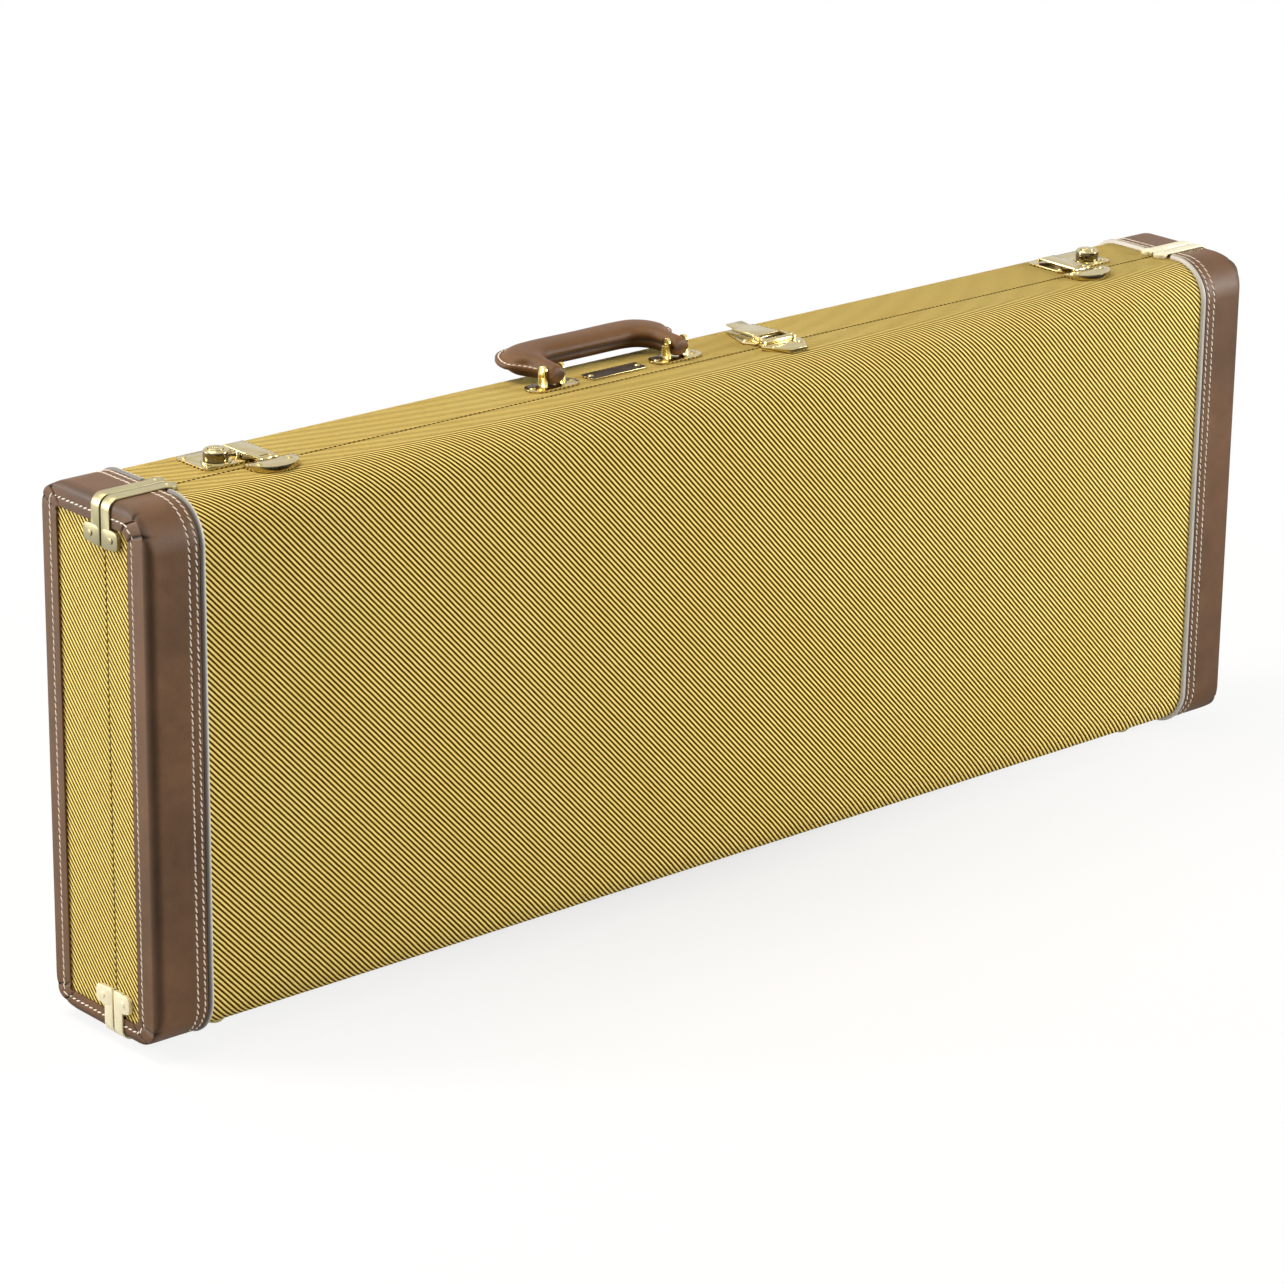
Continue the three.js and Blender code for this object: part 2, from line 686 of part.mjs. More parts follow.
// Side latch on the lid: a half-round plate with one knuckle, the hasp arm and their pin
function addLatchLid(end) {
  const arm_x = half_length - latch.arm_inset;
  const pin_z = top + latch.pin_height;
  const plate_top = on_top + latch.lid_plate_thickness;
  const tray_top = on_top + latch.lid_tray_height;
  const moon_y = -latch.lid_plate_straight;
  const moon_reach = latch.lid_plate_reach - latch.lid_plate_straight;
  const moonFrom = (near) => {
    const moon = new THREE.Shape();
    moon.moveTo(arm_x + latch.lid_plate_half_width, -near);
    moon.lineTo(arm_x - latch.lid_plate_half_width, -near);
    moon.lineTo(arm_x - latch.lid_plate_half_width, moon_y);
    moon.absellipse(arm_x, moon_y, latch.lid_plate_half_width, moon_reach, Math.PI, 2 * Math.PI);
    return moon;
  };
  const bore = rod(-reach, reach, latch.pin_y, pin_z, latch.pin_radius + fit / 2);
  const knuckle = rod(
    arm_x - latch.knuckle_half_width,
    arm_x + latch.knuckle_half_width,
    latch.pin_y,
    pin_z,
    latch.knuckle_radius,
    fine_steps,
  );
  const neck = box(
    arm_x - latch.knuckle_half_width,
    arm_x + latch.knuckle_half_width,
    latch.pin_y - latch.knuckle_radius - 4 * fit,
    latch.pin_y,
    plate_top - fit,
    pin_z,
  );
  const swing = rod(
    arm_x - latch.arm_half_width - fit,
    arm_x + latch.arm_half_width + fit,
    latch.pin_y,
    pin_z,
    latch.knuckle_radius + 2 * fit,
    fine_steps,
  );
  const screws = [-1, 1].map((side) =>
    domeOnTop(arm_x + side * latch.lid_screw_half_spacing, latch.lid_screw_y, tray_top),
  );
  const tray = alongZ(moonFrom(latch.lid_tray_near), on_top, tray_top);
  const plate = cut(join(alongZ(moonFrom(latch.lid_plate_near), on_top, plate_top), tray), swing);
  const lid_plate = cut(join(plate, ...screws, knuckle, neck), bore);
  addPiece(`latch_lid_plate_${end.name}`, lid_plate, brass, end.group);

  const pin = rod(arm_x - latch.pin_half_length, arm_x + latch.pin_half_length, latch.pin_y, pin_z, latch.pin_radius);
  addPiece(`latch_pin_${end.name}`, pin, gold, end.group);

  const t = latch.arm_thickness;
  const r = latch.arm_end_radius;
  const arm_top = top + latch.arm_top;
  const arm_side = new THREE.Shape();
  arm_side.moveTo(latch.pin_y, top + latch.arm_front_top);
  arm_side.lineTo(latch.pin_y, top + latch.arm_front_top - t);
  arm_side.lineTo(latch.arm_reach - r, arm_top - t);
  arm_side.absarc(latch.arm_reach - r, arm_top - r, r - t, Math.PI / 2, 0, true);
  arm_side.lineTo(latch.arm_reach - t, top + latch.arm_end_clear);
  arm_side.lineTo(latch.arm_reach, top + latch.arm_end_clear);
  arm_side.lineTo(latch.arm_reach, arm_top - r);
  arm_side.absarc(latch.arm_reach - r, arm_top - r, r, 0, Math.PI / 2);
  const arm = alongX(arm_side, arm_x - latch.arm_half_width, arm_x + latch.arm_half_width);
  const barrel = rod(
    arm_x - latch.arm_half_width,
    arm_x + latch.arm_half_width,
    latch.pin_y,
    pin_z,
    latch.knuckle_radius,
    fine_steps,
  );
  const gap_half = latch.knuckle_half_width + fit;
  const window_for_knuckle = box(
    arm_x - gap_half,
    arm_x + gap_half,
    latch.pin_y - latch.knuckle_radius - overrun,
    latch.pin_y + latch.knuckle_radius + fit,
    top,
    arm_top,
  );
  addPiece(`latch_hasp_${end.name}`, cut(join(arm, barrel), window_for_knuckle, bore), brass, end.group);
}

// Centre latch
const centre_group = new THREE.Group();
centre_group.position.x = centre.x;
root.add(centre_group);

function shield(near_y, near_half, wide_y, wide_half, far_y, far_half) {
  return polygon([
    [-near_half, near_y],
    [-wide_half, wide_y],
    [-far_half, far_y],
    [far_half, far_y],
    [wide_half, wide_y],
    [near_half, near_y],
  ]);
}

function addCentreLatch() {
  const base_top = on_top + centre.plate_thickness;
  const lid_top = on_top + centre.lid_thickness;
  const pin_z = top + centre.pin_height;
  const lever_z = top + centre.lever_height;

  const base_shape = shield(
    centre.base_front,
    centre.base_half_front,
    centre.base_wide_y,
    centre.base_half_wide,
    centre.base_back,
    centre.base_half_back,
  );
  const base_screws = [-1, 1].map((side) =>
    domeOnTop(side * (centre.rail_inner + centre.rail_thickness + screw_radius), centre.base_screw_y, base_top),
  );
  const base = join(alongZ(base_shape, on_top, base_top), ...base_screws);
  addPiece("centre_latch_base", base, brass, centre_group);

  const lid_shape = shield(
    -centre.lid_near,
    centre.lid_half_near,
    -centre.lid_wide_y,
    centre.lid_half_wide,
    -centre.lid_reach,
    centre.lid_half_far,
  );
  const lug_in = centre.lug_inner;
  const lug_out = centre.lug_inner + centre.lug_thickness;
  const lug_side = new THREE.Shape();
  lug_side.moveTo(centre.pin_y - centre.lug_half_depth, on_top);
  lug_side.lineTo(centre.pin_y + centre.lug_half_depth, on_top);
  lug_side.lineTo(centre.pin_y + centre.lug_half_depth, pin_z);
  lug_side.absarc(centre.pin_y, pin_z, centre.lug_half_depth, 0, Math.PI);
  const swing = rod(-lug_in, lug_in, centre.pin_y, pin_z, centre.knuckle_radius + fit, fine_steps);
  const pin_bore = rod(-reach, reach, centre.pin_y, pin_z, centre.pin_radius + fit / 2);
  const lid_screws = [-1, 1].map((side) =>
    domeOnTop(side * centre.screw_half_spacing, centre.lid_screw_y, lid_top),
  );
  const lid_plate = join(
    cut(alongZ(lid_shape, on_top, lid_top), swing),
    alongX(lug_side, lug_in, lug_out),
    alongX(lug_side, -lug_out, -lug_in),
    ...lid_screws,
  );
  addPiece("centre_latch_lid_plate", cut(lid_plate, pin_bore), brass, centre_group);

  const pin = rod(-lug_out, lug_out, centre.pin_y, pin_z, centre.pin_radius);
  addPiece("centre_latch_pin", pin, gold, centre_group);

  const rail_in = centre.rail_inner;
  const rail_out = rail_in + centre.rail_thickness;
  const rail_top = base_top + fit + centre.rail_height;
  const rail_side = new THREE.Shape();
  rail_side.moveTo(centre.pin_y, pin_z - centre.knuckle_radius);
  rail_side.lineTo(centre.lever_y, base_top + fit);
  rail_side.lineTo(centre.rail_back, base_top + fit);
  rail_side.lineTo(centre.rail_back, rail_top);
  rail_side.lineTo(centre.lever_y + centre.knuckle_radius, rail_top);
  rail_side.lineTo(centre.lever_y + centre.knuckle_radius, lever_z);
  rail_side.absarc(centre.lever_y, lever_z, centre.knuckle_radius, 0, Math.PI / 2);
  rail_side.lineTo(centre.pin_y, pin_z + centre.knuckle_radius);
  const link_barrel = rod(-rail_out, rail_out, centre.pin_y, pin_z, centre.knuckle_radius, fine_steps);
  const bridge = box(
    -rail_out,
    rail_out,
    centre.bridge_front,
    centre.rail_back,
    base_top + fit,
    base_top + fit + centre.bridge_thickness,
  );
  const lever_bore = rod(-reach, reach, centre.lever_y, lever_z, centre.lever_pin_radius + fit / 2);
  const link = join(
    alongX(rail_side, rail_in, rail_out),
    alongX(rail_side, -rail_out, -rail_in),
    link_barrel,
    bridge,
  );
  addPiece("centre_latch_link", cut(link, pin_bore, lever_bore), brass, centre_group);

  const t = centre.lever_thickness;
  const front_top = top + centre.lever_front_top;
  const back_top = top + centre.lever_back_top;
  const plate_side = new THREE.Shape();
  plate_side.moveTo(centre.lever_front, front_top);
  plate_side.lineTo(centre.lever_front, front_top - t);
  plate_side.lineTo(centre.lever_back, back_top - t);
  plate_side.lineTo(centre.tab_reach, back_top - t + centre.tab_rise);
  plate_side.lineTo(centre.tab_reach, back_top + centre.tab_rise);
  plate_side.lineTo(centre.lever_back, back_top);
  const lever_plate = alongX(plate_side, -centre.lever_half_width, centre.lever_half_width);
  const tab_trim_y = centre.lever_back;
  const trims = [-1, 1].map((side) => {
    const near = side * centre.tab_half_width;
    const far = side * reach;
    return box(Math.min(near, far), Math.max(near, far), tab_trim_y, reach, top, top + reach);
  });
  const flange_in = centre.lever_half_width - centre.lever_flange;
  const flange_bottom = front_top - centre.lever_flange_drop;
  const flange_side = new THREE.Shape();
  flange_side.moveTo(centre.lever_front, flange_bottom);
  flange_side.lineTo(centre.lever_y + centre.knuckle_radius, flange_bottom);
  flange_side.lineTo(centre.lever_back, back_top - t - fit);
  flange_side.lineTo(centre.lever_back, back_top - t / 2);
  flange_side.lineTo(centre.lever_front, front_top - t / 2);
  const lever = join(
    cut(lever_plate, ...trims),
    alongX(flange_side, flange_in, centre.lever_half_width),
    alongX(flange_side, -centre.lever_half_width, -flange_in),
    rod(-rail_out, rail_out, centre.lever_y, lever_z, centre.lever_pin_radius),
  );
  addPiece("centre_latch_lever", lever, brass, centre_group);
}

// Hinges: the body's leaf holds the two outer knuckles and the pin, the lid's leaf the middle knuckle
function hingeLeaf(side) {
  const near = hinge.knuckle_radius + fit;
  const y_near = side * near;
  const y_far = side * hinge.leaf_depth;
  const half_leaf = hinge.length / 2;
  const leaf_low = -fit - hinge.leaf_thickness;
  const leaf = box(-half_leaf, half_leaf, Math.min(y_near, y_far), Math.max(y_near, y_far), leaf_low, -fit);
  const spans =
    side > 0
      ? [[-half_leaf, -hinge.middle_half - fit / 2], [hinge.middle_half + fit / 2, half_leaf]]
      : [[-hinge.middle_half + fit / 2, hinge.middle_half - fit / 2]];
  const parts = [leaf];
  for (const [x0, x1] of spans) {
    parts.push(rod(x0, x1, 0, -hinge.axis_drop, hinge.knuckle_radius, fine_steps));
    parts.push(box(x0, x1, Math.min(0, y_near), Math.max(0, y_near), leaf_low, -fit - weld));
  }
  const head_low = leaf_low - screw_height;
  const head = [[0, head_low], [screw_radius * dome_share, head_low], [screw_radius, leaf_low + fit], [0, leaf_low + fit]];
  const screws = [-1, 1].map((step) =>
    turned(head, step * hinge.screw_half_spacing, side * hinge.screw_from_seam, small_round_steps),
  );
  const pin = rod(-half_leaf, half_leaf, 0, -hinge.axis_drop, hinge.pin_radius);
  const bore = rod(-reach, reach, 0, -hinge.axis_drop, hinge.pin_radius + fit / 2);
  return side > 0 ? join(...parts, ...screws, pin) : cut(join(...parts, ...screws), bore);
}

function addHinges() {
  hinge_positions_share.forEach((share, i) => {
    const group = new THREE.Group();
    group.position.x = share * case_length;
    root.add(group);
    const place = ["left", "middle", "right"][i];
    for (const { name, side } of shells) addPiece(`hinge_${place}_${name}_leaf`, hingeLeaf(side), brass, group);
  });
}

function addFeet() {
  const mid_share = 0.86;
  const profile = [
    [0, -foot.height],
    [foot.flat_radius, -foot.height],
    [foot.radius * mid_share, -(foot.height + foot.rim) / 2],
    [foot.radius, -foot.rim],
    [foot.radius, -fit],
    [0, -fit],
  ];
  for (const { name, side } of shells) {
    const y = side > 0 ? foot.body_y : foot.lid_y;
    const solid = turned(profile, half_length - foot.inset, y);
    for (const end of ends) addPiece(`${name}_foot_${end.name}`, solid, brass, end.group);
  }
}

// Half of the cradle round the instrument, drawn in (x, z) with z measured from the neck's middle line
function cradleShape(half_height) {
  const bout = half_height - inside.bout_margin;
  const waist_half = bout - inside.waist_step;
  const waist = (cavity_start + cavity_shoulder) / 2;
  const head = lining_end - inside.head_end;
  const head_start = head - inside.head_length;
  const shape = new THREE.Shape();
  shape.moveTo(-lining_end, half_height);
  shape.lineTo(-lining_end, 0);
  shape.lineTo(cavity_start, 0);
  shape.quadraticCurveTo(cavity_start, bout, waist - inside.cavity_end, bout);
  shape.quadraticCurveTo(waist, waist_half, cavity_shoulder - inside.neck_half_width, waist_half);
  shape.quadraticCurveTo(cavity_shoulder, waist_half, cavity_shoulder, inside.neck_half_width);
  shape.lineTo(head_start, inside.neck_half_width);
  shape.lineTo(head_start, inside.head_half_width);
  shape.lineTo(head, inside.head_half_width);
  shape.lineTo(head, 0);
  shape.lineTo(lining_end, 0);
  shape.lineTo(lining_end, half_height);
  return shape;
}

function addInside() {
  const back = body_depth - wall - inside.clearance;
  const floor_front = back - inside.floor_pad;
  const front = inside.cradle_front;
  const middle = shell_height / 2;
  const lining = alongX(caseOutline(-wall - inside.clearance), -lining_end, lining_end);
  const floor = lining.intersect(box(-reach, reach, floor_front, back, 0, shell_height));
  addPiece("floor_pad", floor, plush);

  const cradle_half = middle - wall - inside.clearance;
  const slab_back = floor_front - fit;
  const upper = alongY(cradleShape(cradle_half), front, slab_back, 0, end_steps, cradle_steps);
  const rest_x0 = inside.rest_x - inside.rest_length / 2;
  const rest_x1 = inside.rest_x + inside.rest_length / 2;
  const rest_half = inside.neck_half_width - fit;
  const pocket_hole = box(
    pocket_start - fit,
    pocket_end + fit,
    front - overrun,
    slab_back + overrun,
    inside.pocket_bottom - fit,
    pocket_top + fit,
  );
  const raise = (solid, sign) => {
    const matrix = new THREE.Matrix4().makeTranslation(0, 0, middle);
    matrix.scale(new THREE.Vector3(1, 1, sign));
    return solid.transform(matrix.elements);
  };
  const above_middle = lining.intersect(box(-reach, reach, -reach, reach, middle + fit / 2, reach));
  const below_middle = lining.intersect(box(-reach, reach, -reach, reach, -reach, middle - fit / 2));
  const upper_half = raise(upper, 1).intersect(above_middle);
  const lower_half = raise(upper, -1).intersect(below_middle);
  addPiece("cradle_upper", upper_half, plush);
  addPiece("cradle_lower", cut(lower_half, pocket_hole), plush);

  const rest_block = box(rest_x0, rest_x1, front, slab_back, middle - rest_half, middle + rest_half);
  const notch_back = front + inside.rest_notch_depth;
  const notch = box(
    rest_x0 - overrun,
    rest_x1 + overrun,
    front - overrun,
    notch_back,
    middle - inside.rest_notch_half,
    middle + inside.rest_notch_half,
  );
  addPiece("neck_rest", cut(rest_block, notch), plush);

  const w = inside.pocket_wall;
  const lid_back = inside.pocket_lid_back + inside.pocket_lid_thickness;
  const pocket = box(
    pocket_start,
    pocket_end,
    lid_back + fit,
    slab_back,
    inside.pocket_bottom,
    pocket_top,
  );
  const pocket_room = box(
    pocket_start + w,
    pocket_end - w,
    lid_back - overrun,
    slab_back - w,
    inside.pocket_bottom + w,
    pocket_top - w,
  );
  addPiece("pocket_box", cut(pocket, pocket_room), boxboard);
  const cover = box(
    pocket_start,
    pocket_end,
    inside.pocket_lid_back,
    lid_back,
    inside.pocket_bottom,
    pocket_top,
  );
  const tab_x = (pocket_start + pocket_end) / 2;
  const tab = box(
    tab_x - inside.tab_width / 2,
    tab_x + inside.tab_width / 2,
    inside.pocket_lid_back - inside.tab_thickness,
    inside.pocket_lid_back,
    pocket_top - inside.tab_length,
    pocket_top,
  );
  addPiece("pocket_lid", join(cover, tab), boxboard);

  const lid_back_face = -lid_depth + wall + inside.clearance;
  const lid_pad = lining.intersect(
    box(-reach, reach, lid_back_face, lid_back_face + inside.lid_pad, 0, shell_height),
  );
  addPiece("lid_pad", lid_pad, plush);
}

addShells();
addLeather();
addPiping();
addBrackets();
addHandle();
addBadge();
for (const end of ends) {
  addLatchBody(end);
  addLatchLid(end);
}
addCentreLatch();
addHinges();
addFeet();
addInside();

export default root;
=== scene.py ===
import json
import math

import bmesh
import bpy
import numpy as np
from mathutils import Matrix, Vector


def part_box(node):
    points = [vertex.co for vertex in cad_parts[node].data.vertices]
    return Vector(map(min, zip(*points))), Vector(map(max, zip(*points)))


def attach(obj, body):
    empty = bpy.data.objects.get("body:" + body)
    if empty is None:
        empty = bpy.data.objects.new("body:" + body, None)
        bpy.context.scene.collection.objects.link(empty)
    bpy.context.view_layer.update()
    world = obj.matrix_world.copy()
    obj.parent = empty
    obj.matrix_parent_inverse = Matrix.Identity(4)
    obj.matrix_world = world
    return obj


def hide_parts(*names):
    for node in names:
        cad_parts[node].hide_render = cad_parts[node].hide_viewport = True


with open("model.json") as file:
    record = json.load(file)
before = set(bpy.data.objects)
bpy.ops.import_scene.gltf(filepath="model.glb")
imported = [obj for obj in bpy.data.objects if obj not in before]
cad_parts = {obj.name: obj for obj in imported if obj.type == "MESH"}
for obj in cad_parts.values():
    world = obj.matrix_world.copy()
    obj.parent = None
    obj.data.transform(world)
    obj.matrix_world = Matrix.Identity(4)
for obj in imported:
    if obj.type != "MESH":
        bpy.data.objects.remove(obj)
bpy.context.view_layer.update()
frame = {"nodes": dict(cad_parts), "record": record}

MM = 0.001
SEED = 7
tiny = 1e-9  # keeps a length that is divided by above zero
merge_distance = 2e-6  # metres within which corners of a CAD mesh are one
flat_angle = 0.8  # degrees under which faces of a CAD mesh count as one

# Case
case_length = 1030
shell_height = 373
depths = {"body": 71.2, "lid": 48.3}
sides = {"body": 1, "lid": -1}
shell_body = {"body": "case_body", "lid": "lid"}
end_sign = {"left": -1, "right": 1}
edge_radius = 28.4
end_radius = 6.75
wall = 6
end_board = 8
leather_thickness = 1.5
seam_gap = 0.3
fit = 0.3
foot_height = 8
leather_out = leather_thickness + fit
half_length = case_length / 2
board_face = half_length - leather_out
board_inner = board_face - end_board
seam_place = (depths["lid"] - depths["body"]) / 2
shift = np.array([0, seam_place, foot_height])

# Photograph's camera, in metres
camera_place = (-2.1772, -2.4402, 1.3265)
camera_forward = (0.6206, 0.7092, -0.3344)
camera_roll = math.radians(0.739)
camera_lens = 134.0
sensor_width = 36.0


# Points, meshes and pieces

def to_frame(points):
    """Points of the case's own axes in millimetres, as points of the frame in metres."""
    return (np.asarray(points, float) + shift) * MM


def add_object(name, mesh):
    made = bpy.data.objects.new(name, mesh)
    bpy.context.scene.collection.objects.link(made)
    return made


def finish_piece(made, body, stands_for=()):
    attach(made, body)
    if stands_for:
        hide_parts(*stands_for)
    return made


def mesh_from(name, points, faces, cloth=None, face_materials=None, painted_shades=None):
    """A mesh from points in millimetres. cloth holds the place of each point on its flat cloth,
    and painted_shades how much painted shade darkens it, from 0 to 1."""
    mesh = bpy.data.meshes.new(name)
    mesh.from_pydata(to_frame(points).tolist(), [], [list(map(int, f)) for f in faces])
    if face_materials is not None:
        mesh.polygons.foreach_set("material_index", np.asarray(face_materials, np.int32))
    if cloth is not None:
        layer = mesh.uv_layers.new(name="cloth")
        corners = np.zeros(len(mesh.loops), np.int32)
        mesh.loops.foreach_get("vertex_index", corners)
        layer.uv.foreach_set("vector", np.asarray(cloth, np.float32)[corners].ravel())
    if painted_shades is not None:
        layer = mesh.attributes.new("painted_shade", "FLOAT", "POINT")
        layer.data.foreach_set("value", np.asarray(painted_shades, np.float32))
    mesh.validate()
    return mesh


def face_outwards(mesh):
    work = bmesh.new()
    work.from_mesh(mesh)
    bmesh.ops.recalc_face_normals(work, faces=work.faces)
    work.to_mesh(mesh)
    work.free()


def smooth(mesh, sharp_over):
    mesh.shade_smooth()
    mesh.set_sharp_from_angle(angle=math.radians(sharp_over))


def apply_modifiers(made):
    """Turns an object's evaluated shape into its plain mesh."""
    depsgraph = bpy.context.evaluated_depsgraph_get()
    mesh = bpy.data.meshes.new_from_object(made.evaluated_get(depsgraph), depsgraph=depsgraph)
    made.modifiers.clear()
    old = made.data
    made.data = mesh
    mesh.name = made.name
    if old.users == 0:
        bpy.data.meshes.remove(old)


def add_bevel(made, width, segments, angle):
    bevel = made.modifiers.new("soft edges", "BEVEL")
    bevel.width = width * MM
    bevel.segments = segments
    bevel.limit_method = "ANGLE"
    bevel.angle_limit = math.radians(angle)
    bevel.harden_normals = False


def make_piece(
    name, mesh, materials, body, slot, stands_for=(), softness=0, segments=2, angle=50, sharp_over=40
):
    """Makes a piece of a mesh. Edges sharper than angle are softened where a softness is given."""
    face_outwards(mesh)
    for material in materials:
        mesh.materials.append(material)
    made = add_object(name, mesh)
    if softness:
        add_bevel(made, softness, segments, angle)
        apply_modifiers(made)
    smooth(made.data, sharp_over)
    finish_piece(made, body, stands_for)


def skin_between(outer, inner):
    """Points and faces of a closed skin between two grids of points of the same shape.
    The first faces are those of the outer grid, in order."""
    rows, columns = outer.shape[:2]
    count = rows * columns
    points = np.concatenate([outer.reshape(-1, 3), inner.reshape(-1, 3)])
    outside = []
    inside = []
    rim = []

    def at(row, column):
        return row * columns + column

    def close(a, b, turn):
        """A face of the rim, from one edge of the outer grid to the same edge of the inner one."""
        rim.append((a, a + count, b + count, b)[::turn])

    for row in range(rows - 1):
        for column in range(columns - 1):
            quad = (at(row, column), at(row, column + 1), at(row + 1, column + 1), at(row + 1, column))
            outside.append(quad)
            inside.append(tuple(count + i for i in reversed(quad)))
    for row, turn in ((0, 1), (rows - 1, -1)):
        for column in range(columns - 1):
            close(at(row, column), at(row, column + 1), turn)
    for column, turn in ((0, -1), (columns - 1, 1)):
        for row in range(rows - 1):
            close(at(row, column), at(row + 1, column), turn)
    return points, outside, inside, rim


# Outline of the case across its length, as one shell's half of a rounded rectangle
straight_points = 14
arc_points = 44
tall_points = 50
shoulder_points = 9
shoulder = 7.5  # flat stretch on either side of a corner with points close together


def half_ring(shell, reach, low, high, radius):
    """(y, z) from the seam on the top, round the shell's far face, to the seam underneath."""
    near = min(shoulder, (reach - radius) / 2)
    flat_end = reach - radius
    across = list(np.linspace(seam_gap, flat_end - near, straight_points + 1))
    across += list(np.linspace(flat_end - near, flat_end, shoulder_points + 1)[1:])
    tall = list(np.linspace(high - radius, high - radius - shoulder, shoulder_points + 1)[1:])
    tall += list(np.linspace(high - radius - shoulder, low + radius + shoulder, tall_points + 1)[1:])
    tall += list(np.linspace(low + radius + shoulder, low + radius, shoulder_points + 1)[1:])
    turn = np.linspace(0, math.pi / 2, arc_points + 1)[1:]
    top = [(y, high) for y in across]
    top_arc = [(flat_end + radius * math.sin(a), high - radius + radius * math.cos(a)) for a in turn]
    face = [(reach, z) for z in tall]
    low_arc = [(flat_end + radius * math.cos(a), low + radius - radius * math.sin(a)) for a in turn]
    under = [(y, low) for y in across[-2::-1]]
    ring = np.array(top + top_arc + face + low_arc + under)
    ring[:, 0] *= sides[shell]
    return ring


first_corner = straight_points + shoulder_points + arc_points // 2
second_corner = first_corner + arc_points + tall_points + 2 * shoulder_points


def case_ring(shell, out):
    reach = depths[shell] + out
    return half_ring(shell, reach, -out, shell_height + out, edge_radius + out)


def along(ring):
    """Distance of each point along a ring."""
    steps = np.linalg.norm(np.diff(ring, axis=0), axis=1)
    return np.concatenate([[0], np.cumsum(steps)])


# Materials

def feed(tree, socket, value):
    """Gives a socket a link, a plain value or, as three numbers on a colour's socket, a colour."""
    if isinstance(value, bpy.types.NodeSocket):
        tree.links.new(value, socket)
    elif socket.type == "RGBA" and len(value) == 3:
        socket.default_value = (*value, 1)
    else:
        socket.default_value = value


def feed_all(tree, node, inputs):
    for key, value in inputs.items():
        feed(tree, node.inputs[key], value)


def add_node(tree, kind, inputs=None, **settings):
    made = tree.nodes.new(kind)
    for key, value in settings.items():
        setattr(made, key, value)
    feed_all(tree, made, inputs or {})
    return made


def calc(tree, operation, a, b=None, c=None, clamp=False):
    made = add_node(tree, "ShaderNodeMath", operation=operation, use_clamp=clamp)
    for socket, value in zip(made.inputs, (a, b, c)):
        if value is not None:
            feed(tree, socket, value)
    return made.outputs[0]


def mix_colours(tree, share, a, b, blend="MIX"):
    made = add_node(tree, "ShaderNodeMix", data_type="RGBA", blend_type=blend)
    sockets = {s.identifier: s for s in made.inputs}
    for key, value in (("Factor_Float", share), ("A_Color", a), ("B_Color", b)):
        feed(tree, sockets[key], value)
    return next(s for s in made.outputs if s.identifier == "Result_Color")


def toned(colour, factor):
    """A colour made lighter or darker."""
    return tuple(min(1, v * factor) for v in colour)


def ramp(tree, value, stops):
    made = tree.nodes.new("ShaderNodeValToRGB")
    tree.links.new(value, made.inputs[0])
    elements = made.color_ramp.elements
    while len(elements) < len(stops):
        elements.new(0.5)
    for element, (place, colour) in zip(elements, stops):
        element.position = place
        element.color = (*colour, 1)
    return made.outputs["Color"]


def noise_of(tree, coordinates, scale, detail, roughness=0.5, output="Fac"):
    inputs = {"Vector": coordinates, "Scale": scale, "Detail": detail, "Roughness": roughness}
    return add_node(tree, "ShaderNodeTexNoise", inputs).outputs[output]


def bump(tree, height, distance, strength=1.0, normal=None):
    inputs = {"Height": height, "Distance": distance * MM, "Strength": strength}
    if normal is not None:
        inputs["Normal"] = normal
    return add_node(tree, "ShaderNodeBump", inputs).outputs["Normal"]


def make_material(name, look, *values):
    """look builds the nodes from the tree, the place on the object and the values. It returns the shader's
    colour, roughness, normal and any other inputs."""
    made = bpy.data.materials.new(name)
    made.use_nodes = True
    tree = made.node_tree
    place = tree.nodes.new("ShaderNodeTexCoord").outputs["Object"]
    colour, roughness, normal, others = look(tree, place, *values)
    shader = tree.nodes["Principled BSDF"]
    feed_all(tree, shader, {"Base Color": colour, "Roughness": roughness, "Normal": normal, **others})
    return made


def paint_in_shade(tree, colour, shade_colour):
    """Paints in shade: brings in the dark colour that a piece's painted_shade attribute asks for."""
    painted_shade = add_node(tree, "ShaderNodeAttribute", attribute_name="painted_shade").outputs["Fac"]
    return mix_colours(tree, painted_shade, colour, shade_colour)


# Tweed: a twill whose pale yarns run over three dark ones and under two, each row one yarn further on
yarns_in_repeat = 5
pale_over = 3
twill_across = 4.0
twill_up = 4.21
ridge_middle = 2.0  # in yarns, where the pale ridges of the twill have their middle
cloth_unit = 100.0  # millimetres of cloth in one unit of its map
yarn_wander = 0.0045  # how far yarns stray, in units of the map
yarn_roundness = 0.35
yarn_bend = 0.92
weft_weight = 0.8
weave_contrast = 1.1
ridge_contrast = 1.6
pale_level = 0.385
# Painted highlight along the twill's ridges: how sharply and where the pale yarn is painted palest
crest_highlight_contrast = 0.55
crest_highlight_level = -0.5
ridge_relief = 0.55


